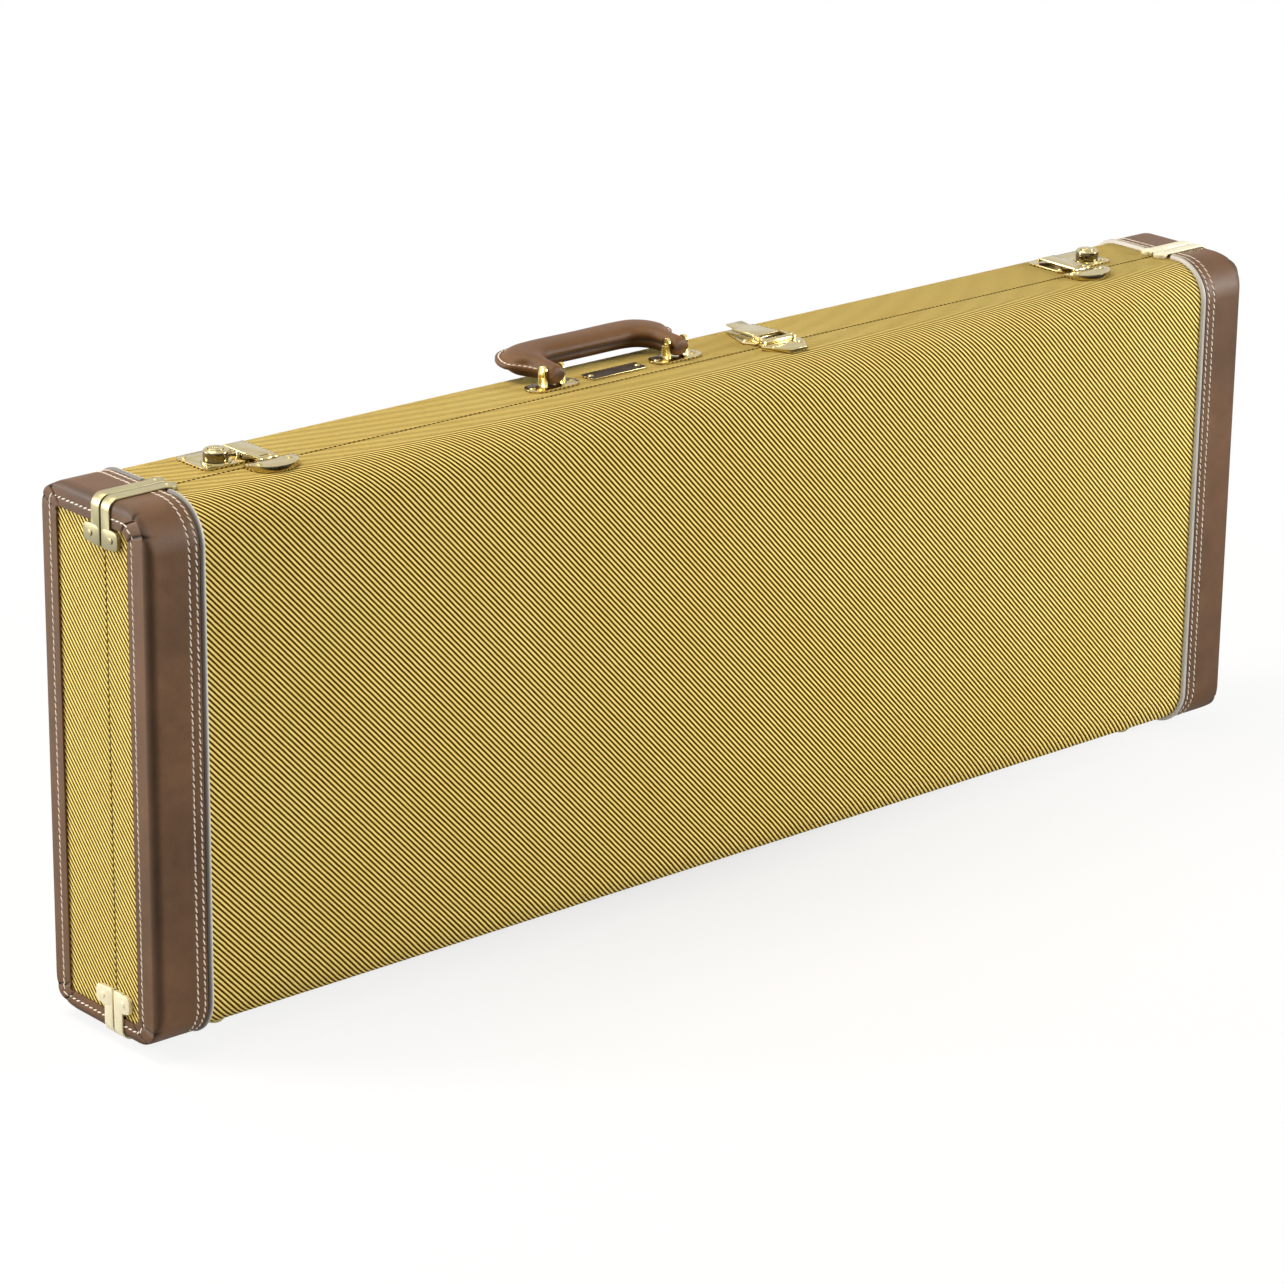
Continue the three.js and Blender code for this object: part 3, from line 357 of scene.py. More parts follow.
def tweed_look(tree, _, stretch):
    cloth = add_node(tree, "ShaderNodeUVMap", uv_map="cloth").outputs[0]
    wander = noise_of(tree, cloth, scale=22.0, detail=2, output="Color")
    centred = add_node(tree, "ShaderNodeVectorMath", {0: wander, 1: (0.5, 0.5, 0.5)}, operation="SUBTRACT")
    astray = {0: centred.outputs[0], "Scale": yarn_wander}
    scaled = add_node(tree, "ShaderNodeVectorMath", astray, operation="SCALE")
    moved = add_node(tree, "ShaderNodeVectorMath", {0: cloth, 1: scaled.outputs[0]}, operation="ADD")
    parts = add_node(tree, "ShaderNodeSeparateXYZ", {0: moved.outputs[0]})
    warps_in_unit = cloth_unit * yarns_in_repeat / (twill_across * stretch)
    wefts_in_unit = cloth_unit * yarns_in_repeat / (twill_up * stretch)
    across = calc(tree, "MULTIPLY", parts.outputs[0], warps_in_unit)
    up = calc(tree, "MULTIPLY", parts.outputs[1], wefts_in_unit)
    warp_place = calc(tree, "FRACT", across)
    weft_place = calc(tree, "FRACT", up)
    warp_number = calc(tree, "FLOOR", across)
    weft_number = calc(tree, "FLOOR", up)
    warp_round = calc(tree, "SINE", calc(tree, "MULTIPLY", warp_place, math.pi))
    weft_round = calc(tree, "SINE", calc(tree, "MULTIPLY", weft_place, math.pi))
    over_share = pale_over / yarns_in_repeat

    def float_height(place, share):
        """Rises over the yarns that a float crosses, and sinks under the others."""
        turn = calc(tree, "FRACT", calc(tree, "DIVIDE", place, yarns_in_repeat))
        from_middle = calc(tree, "ABSOLUTE", calc(tree, "SUBTRACT", turn, share / 2))
        wrapped = calc(tree, "MINIMUM", from_middle, calc(tree, "SUBTRACT", 1.0, from_middle))
        return calc(tree, "COSINE", calc(tree, "MULTIPLY", wrapped, math.pi / share * yarn_bend))

    warp_high = float_height(calc(tree, "ADD", up, warp_number), over_share)
    weft_float = calc(tree, "SUBTRACT", calc(tree, "ADD", across, weft_number), float(pale_over))
    weft_high = calc(tree, "MULTIPLY", float_height(weft_float, 1 - over_share), weft_weight)
    warp_height = calc(tree, "MULTIPLY_ADD", warp_round, yarn_roundness, warp_high)
    weft_height = calc(tree, "MULTIPLY_ADD", weft_round, yarn_roundness, weft_high)
    difference = calc(tree, "SUBTRACT", warp_height, weft_height)
    ridge_place = calc(tree, "SUBTRACT", calc(tree, "ADD", across, up), ridge_middle)
    ridge = calc(tree, "COSINE", calc(tree, "MULTIPLY", ridge_place, 2 * math.pi / yarns_in_repeat))
    ridge_level = calc(tree, "MULTIPLY_ADD", ridge, ridge_contrast, pale_level)
    level = calc(tree, "MULTIPLY_ADD", difference, weave_contrast, ridge_level)
    pale = calc(tree, "MULTIPLY", level, 1.0, clamp=True)
    crest_highlight = calc(tree, "MULTIPLY_ADD", level, crest_highlight_contrast, crest_highlight_level, clamp=True)

    broad = noise_of(tree, cloth, scale=1.3, detail=3)
    fine = noise_of(tree, cloth, scale=60.0, detail=2)
    pale_tone = ramp(tree, broad, [(0.3, (0.98, 0.80, 0.29)), (0.7, (1.0, 0.86, 0.34))])
    fleck = calc(tree, "MULTIPLY_ADD", fine, 0.45, -0.08, clamp=True)
    pale_tone = mix_colours(tree, fleck, pale_tone, (0.80, 0.54, 0.11))
    # Painted highlight and shade: the pale yarn is palest along each ridge's crest and painted golden on its
    # flanks, as in shade
    pale_tone = mix_colours(tree, crest_highlight, (0.74, 0.48, 0.05), pale_tone)
    dark_tone = ramp(tree, fine, [(0.3, (0.034, 0.013, 0.0)), (0.7, (0.095, 0.048, 0.001))])
    colour = mix_colours(tree, pale, dark_tone, pale_tone)
    yarn_height = calc(tree, "MAXIMUM", warp_height, weft_height)
    relief = calc(tree, "MULTIPLY_ADD", ridge, ridge_relief, yarn_height)
    normal = bump(tree, relief, 0.5)
    return colour, 0.66, normal, {"Specular IOR Level": 0.03}


edge_rub = 0.45  # how strongly the leather's edges are rubbed pale


def leather_look(tree, place, tone, gloss):
    broad = noise_of(tree, place, scale=9.0, detail=4)
    mottle = noise_of(tree, place, scale=90.0, detail=4, roughness=0.6)
    cells = {"Vector": place, "Scale": 900.0}
    grain = add_node(tree, "ShaderNodeTexVoronoi", cells, feature="DISTANCE_TO_EDGE").outputs["Distance"]
    pores = noise_of(tree, place, scale=1500.0, detail=3)
    creases = noise_of(tree, place, scale=260.0, detail=5, roughness=0.65)
    colour = ramp(tree, broad, [(0.32, toned(tone, 0.78)), (0.68, toned(tone, 1.22))])
    spots = ramp(tree, mottle, [(0.3, (0.86, 0.84, 0.82)), (0.72, (1.1, 1.08, 1.05))])
    colour = mix_colours(tree, 1.0, colour, spots, "MULTIPLY")
    edge = add_node(tree, "ShaderNodeNewGeometry").outputs["Pointiness"]
    worn = calc(tree, "MULTIPLY_ADD", edge, 6.0, -3.05, clamp=True)
    colour = mix_colours(tree, calc(tree, "MULTIPLY", worn, edge_rub), colour, toned(tone, 1.9))
    colour = paint_in_shade(tree, colour, (0.012, 0.005, 0.002))
    rough = calc(tree, "MULTIPLY_ADD", mottle, 0.2, 0.38)
    low = bump(tree, creases, 0.22, 0.55)
    plump = calc(tree, "MULTIPLY", calc(tree, "MINIMUM", grain, 0.12), 8.0)
    mid = bump(tree, plump, 0.09, 0.6, low)
    normal = bump(tree, pores, 0.05, 0.3, mid)
    return colour, rough, normal, {"Specular IOR Level": gloss}


def cord_look(tree, place):
    broad = noise_of(tree, place, scale=14.0, detail=3)
    colour = ramp(tree, broad, [(0.3, (0.57, 0.55, 0.50)), (0.7, (0.66, 0.65, 0.62))])
    colour = paint_in_shade(tree, colour, (0.085, 0.078, 0.072))
    normal = bump(tree, noise_of(tree, place, scale=420.0, detail=3), 0.1, 0.35)
    return colour, 0.42, normal, {}


def thread_look(tree, place):
    tone = noise_of(tree, place, scale=700.0, detail=2)
    colour = ramp(tree, tone, [(0.3, (0.70, 0.60, 0.49)), (0.7, (0.90, 0.83, 0.74))])
    twist = {"Vector": place, "Scale": 900.0, "Distortion": 2.0}
    strands = add_node(tree, "ShaderNodeTexWave", twist, bands_direction="DIAGONAL")
    normal = bump(tree, strands.outputs["Fac"], 0.12, 0.7)
    return colour, 0.7, normal, {"Sheen Weight": 0.2}


brushed = 0.35  # how deep the metal's brush lines are


def metal_look(tree, place, tone, roughness, dull, metallic=1.0):
    patches = noise_of(tree, place, scale=45.0, detail=4, roughness=0.6)
    dulled = calc(tree, "MULTIPLY_ADD", patches, 0.9, -0.33, clamp=True)
    colour = mix_colours(tree, dulled, tone, dull)
    hollow = add_node(tree, "ShaderNodeNewGeometry").outputs["Pointiness"]
    grime = calc(tree, "MULTIPLY_ADD", hollow, -7.0, 3.4, clamp=True)
    colour = mix_colours(tree, calc(tree, "MULTIPLY", grime, 0.6), colour, toned(dull, 0.35))
    stretched = add_node(tree, "ShaderNodeMapping", {"Vector": place, "Scale": (120.0, 2600.0, 2600.0)})
    lines = noise_of(tree, stretched.outputs[0], scale=1.0, detail=2)
    rough = calc(tree, "MULTIPLY_ADD", lines, brushed * 0.3, roughness)
    waves = noise_of(tree, place, scale=130.0, detail=2)
    normal = bump(tree, waves, 0.09, 0.25, bump(tree, lines, 0.01, brushed))
    return colour, rough, normal, {"Metallic": metallic}


def lacquer_look(tree, place):
    cloud = noise_of(tree, place, scale=60.0, detail=4, roughness=0.6)
    colour = ramp(tree, cloud, [(0.35, (0.016, 0.010, 0.007)), (0.75, (0.060, 0.042, 0.028))])
    rough = calc(tree, "MULTIPLY_ADD", cloud, 0.35, 0.22)
    normal = bump(tree, noise_of(tree, place, scale=200.0, detail=3), 0.05, 0.3)
    return colour, rough, normal, {"Specular IOR Level": 0.12}


def plush_look(tree, place, tone):
    nap = noise_of(tree, place, scale=26.0, detail=5, roughness=0.6)
    pile = noise_of(tree, place, scale=1100.0, detail=3)
    tufts = add_node(tree, "ShaderNodeTexVoronoi", {"Vector": place, "Scale": 520.0}).outputs["Distance"]
    dark = toned(tone, 0.6)
    colour = ramp(tree, nap, [(0.34, dark), (0.52, tone), (0.7, toned(tone, 1.45))])
    colour = mix_colours(tree, calc(tree, "MULTIPLY", tufts, 0.9, clamp=True), colour, dark)
    normal = bump(tree, pile, 0.5, 0.6, bump(tree, nap, 3.0, 0.5))
    sheen = {"Sheen Weight": 0.8, "Sheen Roughness": 0.35, "Sheen Tint": (0.95, 0.6, 0.35)}
    return colour, 0.92, normal, {"Specular IOR Level": 0.2, **sheen}


def edge_cloth_look(tree, place):
    """Frayed edge of the covering where it turns into the seam, painted near black as painted shade in the
    seam's gap.
    """
    frayed = noise_of(tree, place, scale=420.0, detail=3)
    colour = ramp(tree, frayed, [(0.35, (0.020, 0.011, 0.003)), (0.7, (0.085, 0.05, 0.010))])
    normal = bump(tree, noise_of(tree, place, scale=900.0, detail=2), 0.3, 0.6)
    return colour, 0.9, normal, {"Specular IOR Level": 0.1}


tweed = make_material("tweed", tweed_look, 1.0)
tweed_ends = make_material("tweed on the ends", tweed_look, 1.13)
leather = make_material("brown leather", leather_look, (0.122, 0.060, 0.025), 0.32)
handle_leather = make_material("handle leather", leather_look, (0.118, 0.053, 0.015), 0.3)
piping_vinyl = make_material("ivory piping", cord_look)
thread = make_material("pale thread", thread_look)
edge_cloth = make_material("dark seam edge", edge_cloth_look)
# Each metal: its tone, roughness and dull tone, and how metallic it is where that isn't fully
brass = make_material("pale brass", metal_look, (0.57, 0.47, 0.23), 0.15, (0.31, 0.24, 0.09))
# The dim and the cream brass are darker and lighter copies of the brackets' one brass: painted reflections of
# what each bracket faces
dim_painted_brass = make_material("brass painted dim", metal_look, (0.40, 0.36, 0.21), 0.38, (0.25, 0.215, 0.11))
cream_brass = make_material("cream brass", metal_look, (0.88, 0.82, 0.58), 0.24, (0.70, 0.62, 0.37), 0.4)
yellow_brass = make_material("yellow brass", metal_look, (0.70, 0.60, 0.22), 0.25, (0.42, 0.35, 0.09), 0.7)
shaded_brass = make_material("shaded brass", metal_look, (0.235, 0.20, 0.125), 0.14, (0.15, 0.12, 0.06))
gold = make_material("gold plate", metal_look, (0.84, 0.66, 0.235), 0.12, (0.50, 0.33, 0.08))
lacquer = make_material("dark lacquer", lacquer_look)
plush = make_material("orange plush", plush_look, (0.42, 0.155, 0.045))


# Stitches, laid along their paths by a tree of geometry nodes
stitch_skew = (0.55, 1.45)  # least and most turn of a stitch, as shares of the tilt


def stitch_tree():
    """Thread stitches laid end to end along the lines of a mesh, lying on the side that "out" points to."""
    tree = bpy.data.node_groups.new("stitches", "GeometryNodeTree")
    geometry = "NodeSocketGeometry"
    tree.interface.new_socket("Geometry", in_out="INPUT", socket_type=geometry)
    for label in ("Pitch", "Length", "Thickness", "Tilt"):
        tree.interface.new_socket(label, in_out="INPUT", socket_type="NodeSocketFloat")
    tree.interface.new_socket("Seed", in_out="INPUT", socket_type="NodeSocketInt")
    tree.interface.new_socket("Material", in_out="INPUT", socket_type="NodeSocketMaterial")
    tree.interface.new_socket("Geometry", in_out="OUTPUT", socket_type=geometry)
    given = tree.nodes.new("NodeGroupInput").outputs
    result = tree.nodes.new("NodeGroupOutput")

    line = add_node(tree, "GeometryNodeMeshToCurve", {"Mesh": given["Geometry"]}).outputs[0]
    spacing = {"Curve": line, "Length": given["Pitch"]}
    even = add_node(tree, "GeometryNodeResampleCurve", spacing, mode="LENGTH")
    strand = add_node(tree, "GeometryNodeMeshUVSphere", {"Segments": 8, "Rings": 7, "Radius": 0.5})
    tangent = tree.nodes.new("GeometryNodeInputTangent").outputs[0]
    lengthwise = add_node(tree, "FunctionNodeAlignRotationToVector", {"Vector": tangent}, axis="X")
    out = add_node(tree, "GeometryNodeInputNamedAttribute", data_type="FLOAT_VECTOR")
    out.inputs["Name"].default_value = "out"
    facing = {"Rotation": lengthwise.outputs[0], "Vector": out.outputs["Attribute"]}
    upright = add_node(tree, "FunctionNodeAlignRotationToVector", facing, axis="Z", pivot_axis="X")

    skew = add_node(tree, "FunctionNodeRandomValue", {"Seed": given["Seed"]}, data_type="FLOAT")
    for socket, share in zip([s for s in skew.inputs if s.type == "VALUE" and s.enabled], stitch_skew):
        socket.default_value = share
    chosen = skew.outputs["Value"] if "Value" in skew.outputs else skew.outputs[1]
    angle = calc(tree, "MULTIPLY", chosen, given["Tilt"])
    turn = add_node(tree, "FunctionNodeAxisAngleToRotation", {"Axis": (0, 0, 1), "Angle": angle})
    both = {"Rotation": upright.outputs[0], "Rotate By": turn.outputs[0]}
    tilted = add_node(tree, "FunctionNodeRotateRotation", both, rotation_space="LOCAL")
    thickness = given["Thickness"]
    size = add_node(tree, "ShaderNodeCombineXYZ", {0: given["Length"], 1: thickness, 2: thickness})
    placed = {
        "Points": even.outputs[0],
        "Instance": strand.outputs["Mesh"],
        "Rotation": tilted.outputs[0],
        "Scale": size.outputs[0],
    }
    laid = add_node(tree, "GeometryNodeInstanceOnPoints", placed)
    solid = add_node(tree, "GeometryNodeRealizeInstances", {"Geometry": laid.outputs[0]})
    dressed = {"Geometry": solid.outputs[0], "Material": given["Material"]}
    painted = add_node(tree, "GeometryNodeSetMaterial", dressed)
    tree.links.new(painted.outputs[0], result.inputs[0])
    return tree


stitches = stitch_tree()


def lay_stitches(name, paths, body, pitch=4.9, length=5.0, thickness=1.15, tilt=0.28):
    """paths are (points, outward directions) in millimetres."""
    points = []
    outwards = []
    edges = []
    for path, normals in paths:
        first = len(points)
        points.extend(path)
        outwards.extend(normals)
        edges.extend((first + i, first + i + 1) for i in range(len(path) - 1))
    mesh = bpy.data.meshes.new(name)
    mesh.from_pydata(to_frame(points).tolist(), edges, [])
    out = mesh.attributes.new("out", "FLOAT_VECTOR", "POINT")
    out.data.foreach_set("vector", np.asarray(outwards, np.float32).ravel())
    made = add_object(name, mesh)
    modifier = made.modifiers.new("stitches", "NODES")
    modifier.node_group = stitches
    values = {"Pitch": pitch * MM, "Length": length * MM, "Thickness": thickness * MM}
    values |= {"Tilt": tilt, "Seed": SEED, "Material": thread}
    for socket in stitches.interface.items_tree:
        if socket.in_out == "INPUT" and socket.name in values:
            modifier[socket.identifier] = values[socket.name]
    apply_modifiers(made)
    smooth(made.data, sharp_over=60)
    finish_piece(made, body)


# Tweed shells and end boards
shell_end = half_length - end_radius + fit  # covered by the leather, before it rounds over the end's edge
shell_station = 300
shell_stations = (-shell_end, -shell_station, 0, shell_station, shell_end)
rim_softness = 0.8


def finish_tweed(name, mesh, covering, shell, node):
    """A covered board: the covering outside, plush inside and, at the seam, the covering's edge painted dark
    as the seam's shade.
    """
    materials = (covering, plush, edge_cloth)
    rounding = {"softness": rim_softness, "segments": 3}
    make_piece(name, mesh, materials, shell_body[shell], "tweed_covered_ply", [node], **rounding)


def add_shell(shell):
    outer_ring = case_ring(shell, 0)
    inner_ring = case_ring(shell, -wall)
    outer = np.array([[(x, y, z) for y, z in outer_ring] for x in shell_stations])
    inner = np.array([[(x, y, z) for y, z in inner_ring] for x in shell_stations])
    points, outside, inside, rim = skin_between(outer, inner)
    up_the_cloth = along(outer_ring) * sides[shell]
    flat = [(x / cloth_unit, up / cloth_unit) for x in shell_stations for up in up_the_cloth]
    cloth = flat + flat
    faces = outside + inside + rim
    across_seam = 2 * (len(shell_stations) - 1)
    kinds = [0] * len(outside) + [1] * len(inside) + [0] * (len(rim) - across_seam) + [2] * across_seam
    name = f"{shell}_tweed_shell"
    mesh = mesh_from(name, points, faces, cloth, kinds)
    finish_tweed(name, mesh, tweed, shell, f"{shell}_shell")


def add_end_board(shell, end):
    """The tweed window in the leather border of an end face."""
    turn = end_sign[end]
    ring = case_ring(shell, -wall - fit)
    count = len(ring)
    points = [(turn * x, y, z) for x in (board_face, board_inner) for y, z in ring]
    around = [(i, (i + 1) % count, (i + 1) % count + count, i + count) for i in range(count)]
    cloth = [(turn * y / cloth_unit, z / cloth_unit) for y, z in ring] * 2
    name = f"{shell}_tweed_end_{end}"
    faces = [range(count), range(2 * count - 1, count - 1, -1), *around]
    mesh = mesh_from(name, points, faces, cloth, [0, 1] + [0] * (count - 1) + [2])
    finish_tweed(name, mesh, tweed_ends, shell, f"{shell}_end_board_{end}")


# Leather caps
cap_length = 40.6
cap_face_corner = 8
window_reach = {"lid": 27.1, "body": 52.4}
window_low = 13
window_high = 357
window_radius = {"lid": 6.5, "body": 2.5}
stitch_insets = (38.2, 32.4)  # of the two rows beside the piping, from the end face
border_stitch_reach = {"lid": 32.2, "body": 59.5}
border_stitch_low = 8
border_stitch_high = 363.4
border_stitch_radius = {"lid": 9.5, "body": 5}
groove_depth = 0.45
groove_width = 1.1
crease_depth = 1.35
crease_width = 0.85
# From a corner's middle to its creases: on the side, on the end face, at its stitches and at the window
crease_spread = (9.0, 6.4, 5.4, 4.4)
crease_swell = 0.45
gathered = {"left": 1, "right": 0.45}  # how strongly each end's corners are gathered
# Painted shade in the creases, as a share of the colour
crease_dark = 0.92
edge_dark = 0.5  # painted shade, as a share of the colour, where the leather bends round the end's edge
edge_dark_inset = 1.9
edge_dark_width = 3.2
crease_start = 9.5  # from the end face to where the creases begin
crease_fade = 3  # power with which a crease's painted shade fades along it
crease_end_share = 0.5  # how much of the gathering is gone at the window
swell_share = 0.62  # of the way to the creases, over which a corner swells
# Painted shade in the stitched grooves, and the most painted shade anywhere on the cap
groove_dark = 0.35
darkest = 0.95
border_groove_reach = 9  # from the edge of the end face to the border's stitches, as the groove sees it
window_groove_reach = 5  # from the border's stitches to the window, likewise
groove_steps = (-2, -1, -0.5, 0, 0.5, 1, 2)  # rows of points beside a stitched groove, in groove widths
border_shares = (0.2, 0.4, 0.6, 0.75, 0.86, 0.93, 1.0)
window_shares = (0.12, 0.25, 0.5, 0.75, 0.9, 1.0)
side_rows = 14
round_rows = 9
cap_softness = 0.5
on_face_share = 0.3  # of the end's rounding, within which a row is thinned along the case too
cap_edge_row = 1.2  # from the cap's edge to its next row of points
least_radius = 1.0
sewn_share = 0.95  # how deep a row lies in its groove to carry the stitches
stitch_from_seam = 2.0
stitch_lift = 0.25


def groove_at(distance):
    return math.exp(-((distance / (groove_width / 2)) ** 2))


def between(a, b, share):
    return a + (b - a) * share


def cap_rows(shell):
    """The cap's section from the piping, round the end's edge, to the edge of the window.
    Each row: inset from the end face, outline (reach, low, high, corner radius), groove,
    how far the corner is gathered, and where its creases lie."""
    rows = []
    reach = depths[shell] + leather_out
    radius = edge_radius + leather_out
    top = shell_height + leather_out
    side, face, stitched, open_edge = crease_spread
    insets = {cap_length, cap_length - cap_edge_row, end_radius}
    insets |= {row + step * groove_width for row in stitch_insets for step in groove_steps}
    insets |= set(np.linspace(end_radius, min(stitch_insets) - 3 * groove_width, side_rows))
    for inset in sorted(insets, reverse=True):
        groove = sum(groove_at(inset - row) for row in stitch_insets)
        gather = max(0, 1 - inset / crease_start)
        rows.append((inset, (reach, -leather_out, top, radius), groove, gather, side))
    for angle in np.linspace(0, math.pi / 2, round_rows)[1:]:
        inset = end_radius * (1 - math.sin(angle))
        drop = end_radius * (1 - math.cos(angle))
        share = drop / end_radius
        outline = (reach - drop, drop - leather_out, top - drop, between(radius, cap_face_corner, share))
        rows.append((inset, outline, 0, 1 - inset / crease_start, between(side, face, share)))
    start = rows[-1][1]
    stitch = (border_stitch_reach[shell], border_stitch_low, border_stitch_high, border_stitch_radius[shell])
    window = (window_reach[shell], window_low, window_high, window_radius[shell])
    for share in border_shares:
        outline = tuple(between(a, b, share) for a, b in zip(start, stitch))
        groove = groove_at((1 - share) * border_groove_reach)
        rows.append((0, outline, groove, 1, between(face, stitched, share)))
    for share in window_shares:
        outline = tuple(between(a, b, share) for a, b in zip(stitch, window))
        groove = groove_at(share * window_groove_reach)
        rows.append((0, outline, groove, 1 - crease_end_share * share, between(stitched, open_edge, share)))
    return rows


def cap_grid(shell, end, thin=0.0):
    """Points of the cap's surface, that far under its outside."""
    turn = end_sign[end]
    grid = []
    for inset, (reach, low, high, radius), _, _, _ in cap_rows(shell):
        on_side = thin if inset > 0 else 0
        on_face = thin if inset < end_radius * on_face_share else 0
        corner = max(radius - on_side, least_radius)
        ring = half_ring(shell, reach - on_side, low + on_side, high - on_side, corner)
        grid.append([(turn * (half_length - inset - on_face), y, z) for y, z in ring])
    return np.array(grid)


def grid_normals(grid, outwards_hint):
    """Unit normals of a grid of points, facing away from the case's middle."""
    across = np.gradient(grid, axis=1)
    down = np.gradient(grid, axis=0)
    normal = np.cross(across, down)
    length = np.linalg.norm(normal, axis=2, keepdims=True)
    normal = normal / np.maximum(length, tiny)
    flip = np.sign((normal * outwards_hint).sum(axis=2, keepdims=True))
    flip[flip == 0] = 1
    return normal * flip


def cap_surface(shell, end):
    """The cap's outer surface with its sewn grooves and gathered corners, its normals,
    and how much painted shade darkens its points in grooves, creases and along the end's edge."""
    grid = cap_grid(shell, end)
    middle = np.array([0, sides[shell] * depths[shell] / 3, shell_height / 2])
    normal = grid_normals(grid, grid - middle)
    painted_shades = np.zeros(grid.shape[:2])
    for r, (inset, _, groove, gather, spread) in enumerate(cap_rows(shell)):
        place = along(grid[r, :, 1:])
        gather *= gathered[end]
        push = np.full(len(place), -groove_depth * groove)
        # Painted shade in the grooves, along the end's edge and in the creases
        painted_shade = np.full(len(place), groove_dark * groove)
        if inset > 0:
            painted_shade += edge_dark * math.exp(-(((inset - edge_dark_inset) / edge_dark_width) ** 2))
        for corner in (first_corner, second_corner):
            off = np.abs(place - place[corner])
            crease = np.exp(-(((off - spread) / crease_width) ** 2))
            swollen = np.exp(-((off / (spread * swell_share)) ** 4))
            push += gather * (crease_swell * swollen - crease_depth * crease)
            painted_shade += crease_dark * gather**crease_fade * crease
        grid[r] += normal[r] * np.maximum(push, -crease_depth)[:, None]
        painted_shades[r] = np.clip(painted_shade, 0, darkest)
    return grid, normal, painted_shades


def add_cap(shell, end):
    outer, normal, painted_shades = cap_surface(shell, end)
    inner = cap_grid(shell, end, leather_thickness)
    points, outside, inside, rim = skin_between(outer, inner)
    name = f"{shell}_leather_cap_{end}"
    mesh = mesh_from(name, points, outside + inside + rim, painted_shades=np.tile(painted_shades.ravel(), 2))
    stands_for = [f"{shell}_leather_{end}"]
    rounding = {"softness": cap_softness, "angle": 55, "sharp_over": 60}
    make_piece(name, mesh, [leather], shell_body[shell], "leather", stands_for, **rounding)

    rows = cap_rows(shell)
    sewn = [min(range(len(rows)), key=lambda i: abs(rows[i][0] - row)) for row in stitch_insets]
    sewn.append(next(r for r, row in enumerate(rows) if row[0] == 0 and row[2] > sewn_share))
    paths = []
    for r in sewn:
        keep = np.abs(outer[r][:, 1]) > stitch_from_seam
        paths.append((outer[r][keep] + normal[r][keep] * stitch_lift, normal[r][keep]))
    lay_stitches(f"{shell}_stitches_{end}", paths, shell_body[shell])


# Piping
piping_width = 5
piping_proud = 2.9
piping_gap = 0.8
piping_steps = 14
piping_fullness = 0.8  # power that makes its section fuller than an ellipse
piping_under = 0.05
piping_softness = 0.8
piping_shade = 0.9  # painted shade: how dark the cord is painted on its half beside the leather
bracket_from_seam = 1
lug_radius = 5.6
piping_from_lug = 1.2


def add_piping(shell, end):
    turn = end_sign[end]
    middle = half_length - cap_length - fit - piping_width / 2
    from_seam = bracket_from_seam + 2 * lug_radius + fit + piping_from_lug

    def line_at(across, high):
        """One line along the cord, from the top bracket round the case to the bottom one."""
        ring = case_ring(shell, high)
        return [(turn * (middle + across), y, z) for y, z in ring[np.abs(ring[:, 0]) > from_seam]]

    outer = []
    inner = []
    beside_leather = []
    for angle in np.linspace(0, math.pi, piping_steps + 1):
        across = math.cos(angle) * (piping_width - piping_gap) / 2
        outer.append(line_at(across, fit + (piping_proud - fit) * math.sin(angle) ** piping_fullness))
        inner.append(line_at(across, piping_under))
        beside_leather.append(min(1, max(0, across / piping_width * 2 + 0.5)) * piping_shade)
    outer = np.array(outer)
    inner = np.array(inner)
    points, outside, inside, rim = skin_between(outer, inner)
    name = f"{shell}_ivory_piping_{end}"
    painted_shades = np.tile(np.repeat(beside_leather, outer.shape[1]), 2)
    mesh = mesh_from(name, points, outside + inside + rim, painted_shades=painted_shades)
    stands_for = [f"{shell}_piping_{end}"]
    rounding = {"softness": piping_softness, "segments": 3, "angle": 55, "sharp_over": 50}
    make_piece(name, mesh, [piping_vinyl], shell_body[shell], "piping", stands_for, **rounding)


for shell in sides:
    add_shell(shell)
    for end in end_sign:
        add_end_board(shell, end)
        add_cap(shell, end)
        add_piping(shell, end)


# Metal fittings: the frame's own shapes with softened edges
node_body = {n: b for b, nodes in frame["record"]["behaviour"]["bodies"].items() for n in nodes}
metal_sharp = 38  # degrees over which an edge of a fitting is softened
pin_softness = 0.2
plate_softness = 0.25
metal_softness = 0.3
moving_softness = 0.35
domed_softness = 0.4
half_moon_softness = 0.45
steep_share = 0.5  # of a normal's length, below which a face counts as a side
level_share = 0.9  # of a normal's length, above which a face counts as level


def merged_copy(node, name, flat_under=0.0):
    """A node's CAD mesh with each corner once, and with the faces joined that turn less than flat_under."""
    mesh = frame["nodes"][node].data.copy()
    mesh.name = name
    work = bmesh.new()
    work.from_mesh(mesh)
    bmesh.ops.remove_doubles(work, verts=work.verts, dist=merge_distance)
    if flat_under:
        angle = math.radians(flat_under)
        bmesh.ops.dissolve_limit(work, angle_limit=angle, verts=work.verts, edges=work.edges)
    work.to_mesh(mesh)
    work.free()
    return mesh


def cover(mesh, material):
    """Makes the material a mesh's only one."""
    mesh.materials.clear()
    mesh.materials.append(material)
    mesh.polygons.foreach_set("material_index", np.zeros(len(mesh.polygons), np.int32))


def dress(node, name, material, softness=metal_softness, segments=2):
    mesh = merged_copy(node, name, flat_angle)
    cover(mesh, material)
    made = add_object(name, mesh)
    add_bevel(made, softness, segments, metal_sharp)
    apply_modifiers(made)
    smooth(made.data, metal_sharp)
    return finish_piece(made, node_body[node], [node])


def paint(made, material, chosen):
    """Gives another material to the faces that chosen picks by their middle and their normal.
    The middle is in the case's own axes."""
    made.data.materials.append(material)
    for face in made.data.polygons:
        if chosen(np.array(face.center) / MM - shift, face.normal):
            face.material_index = 1


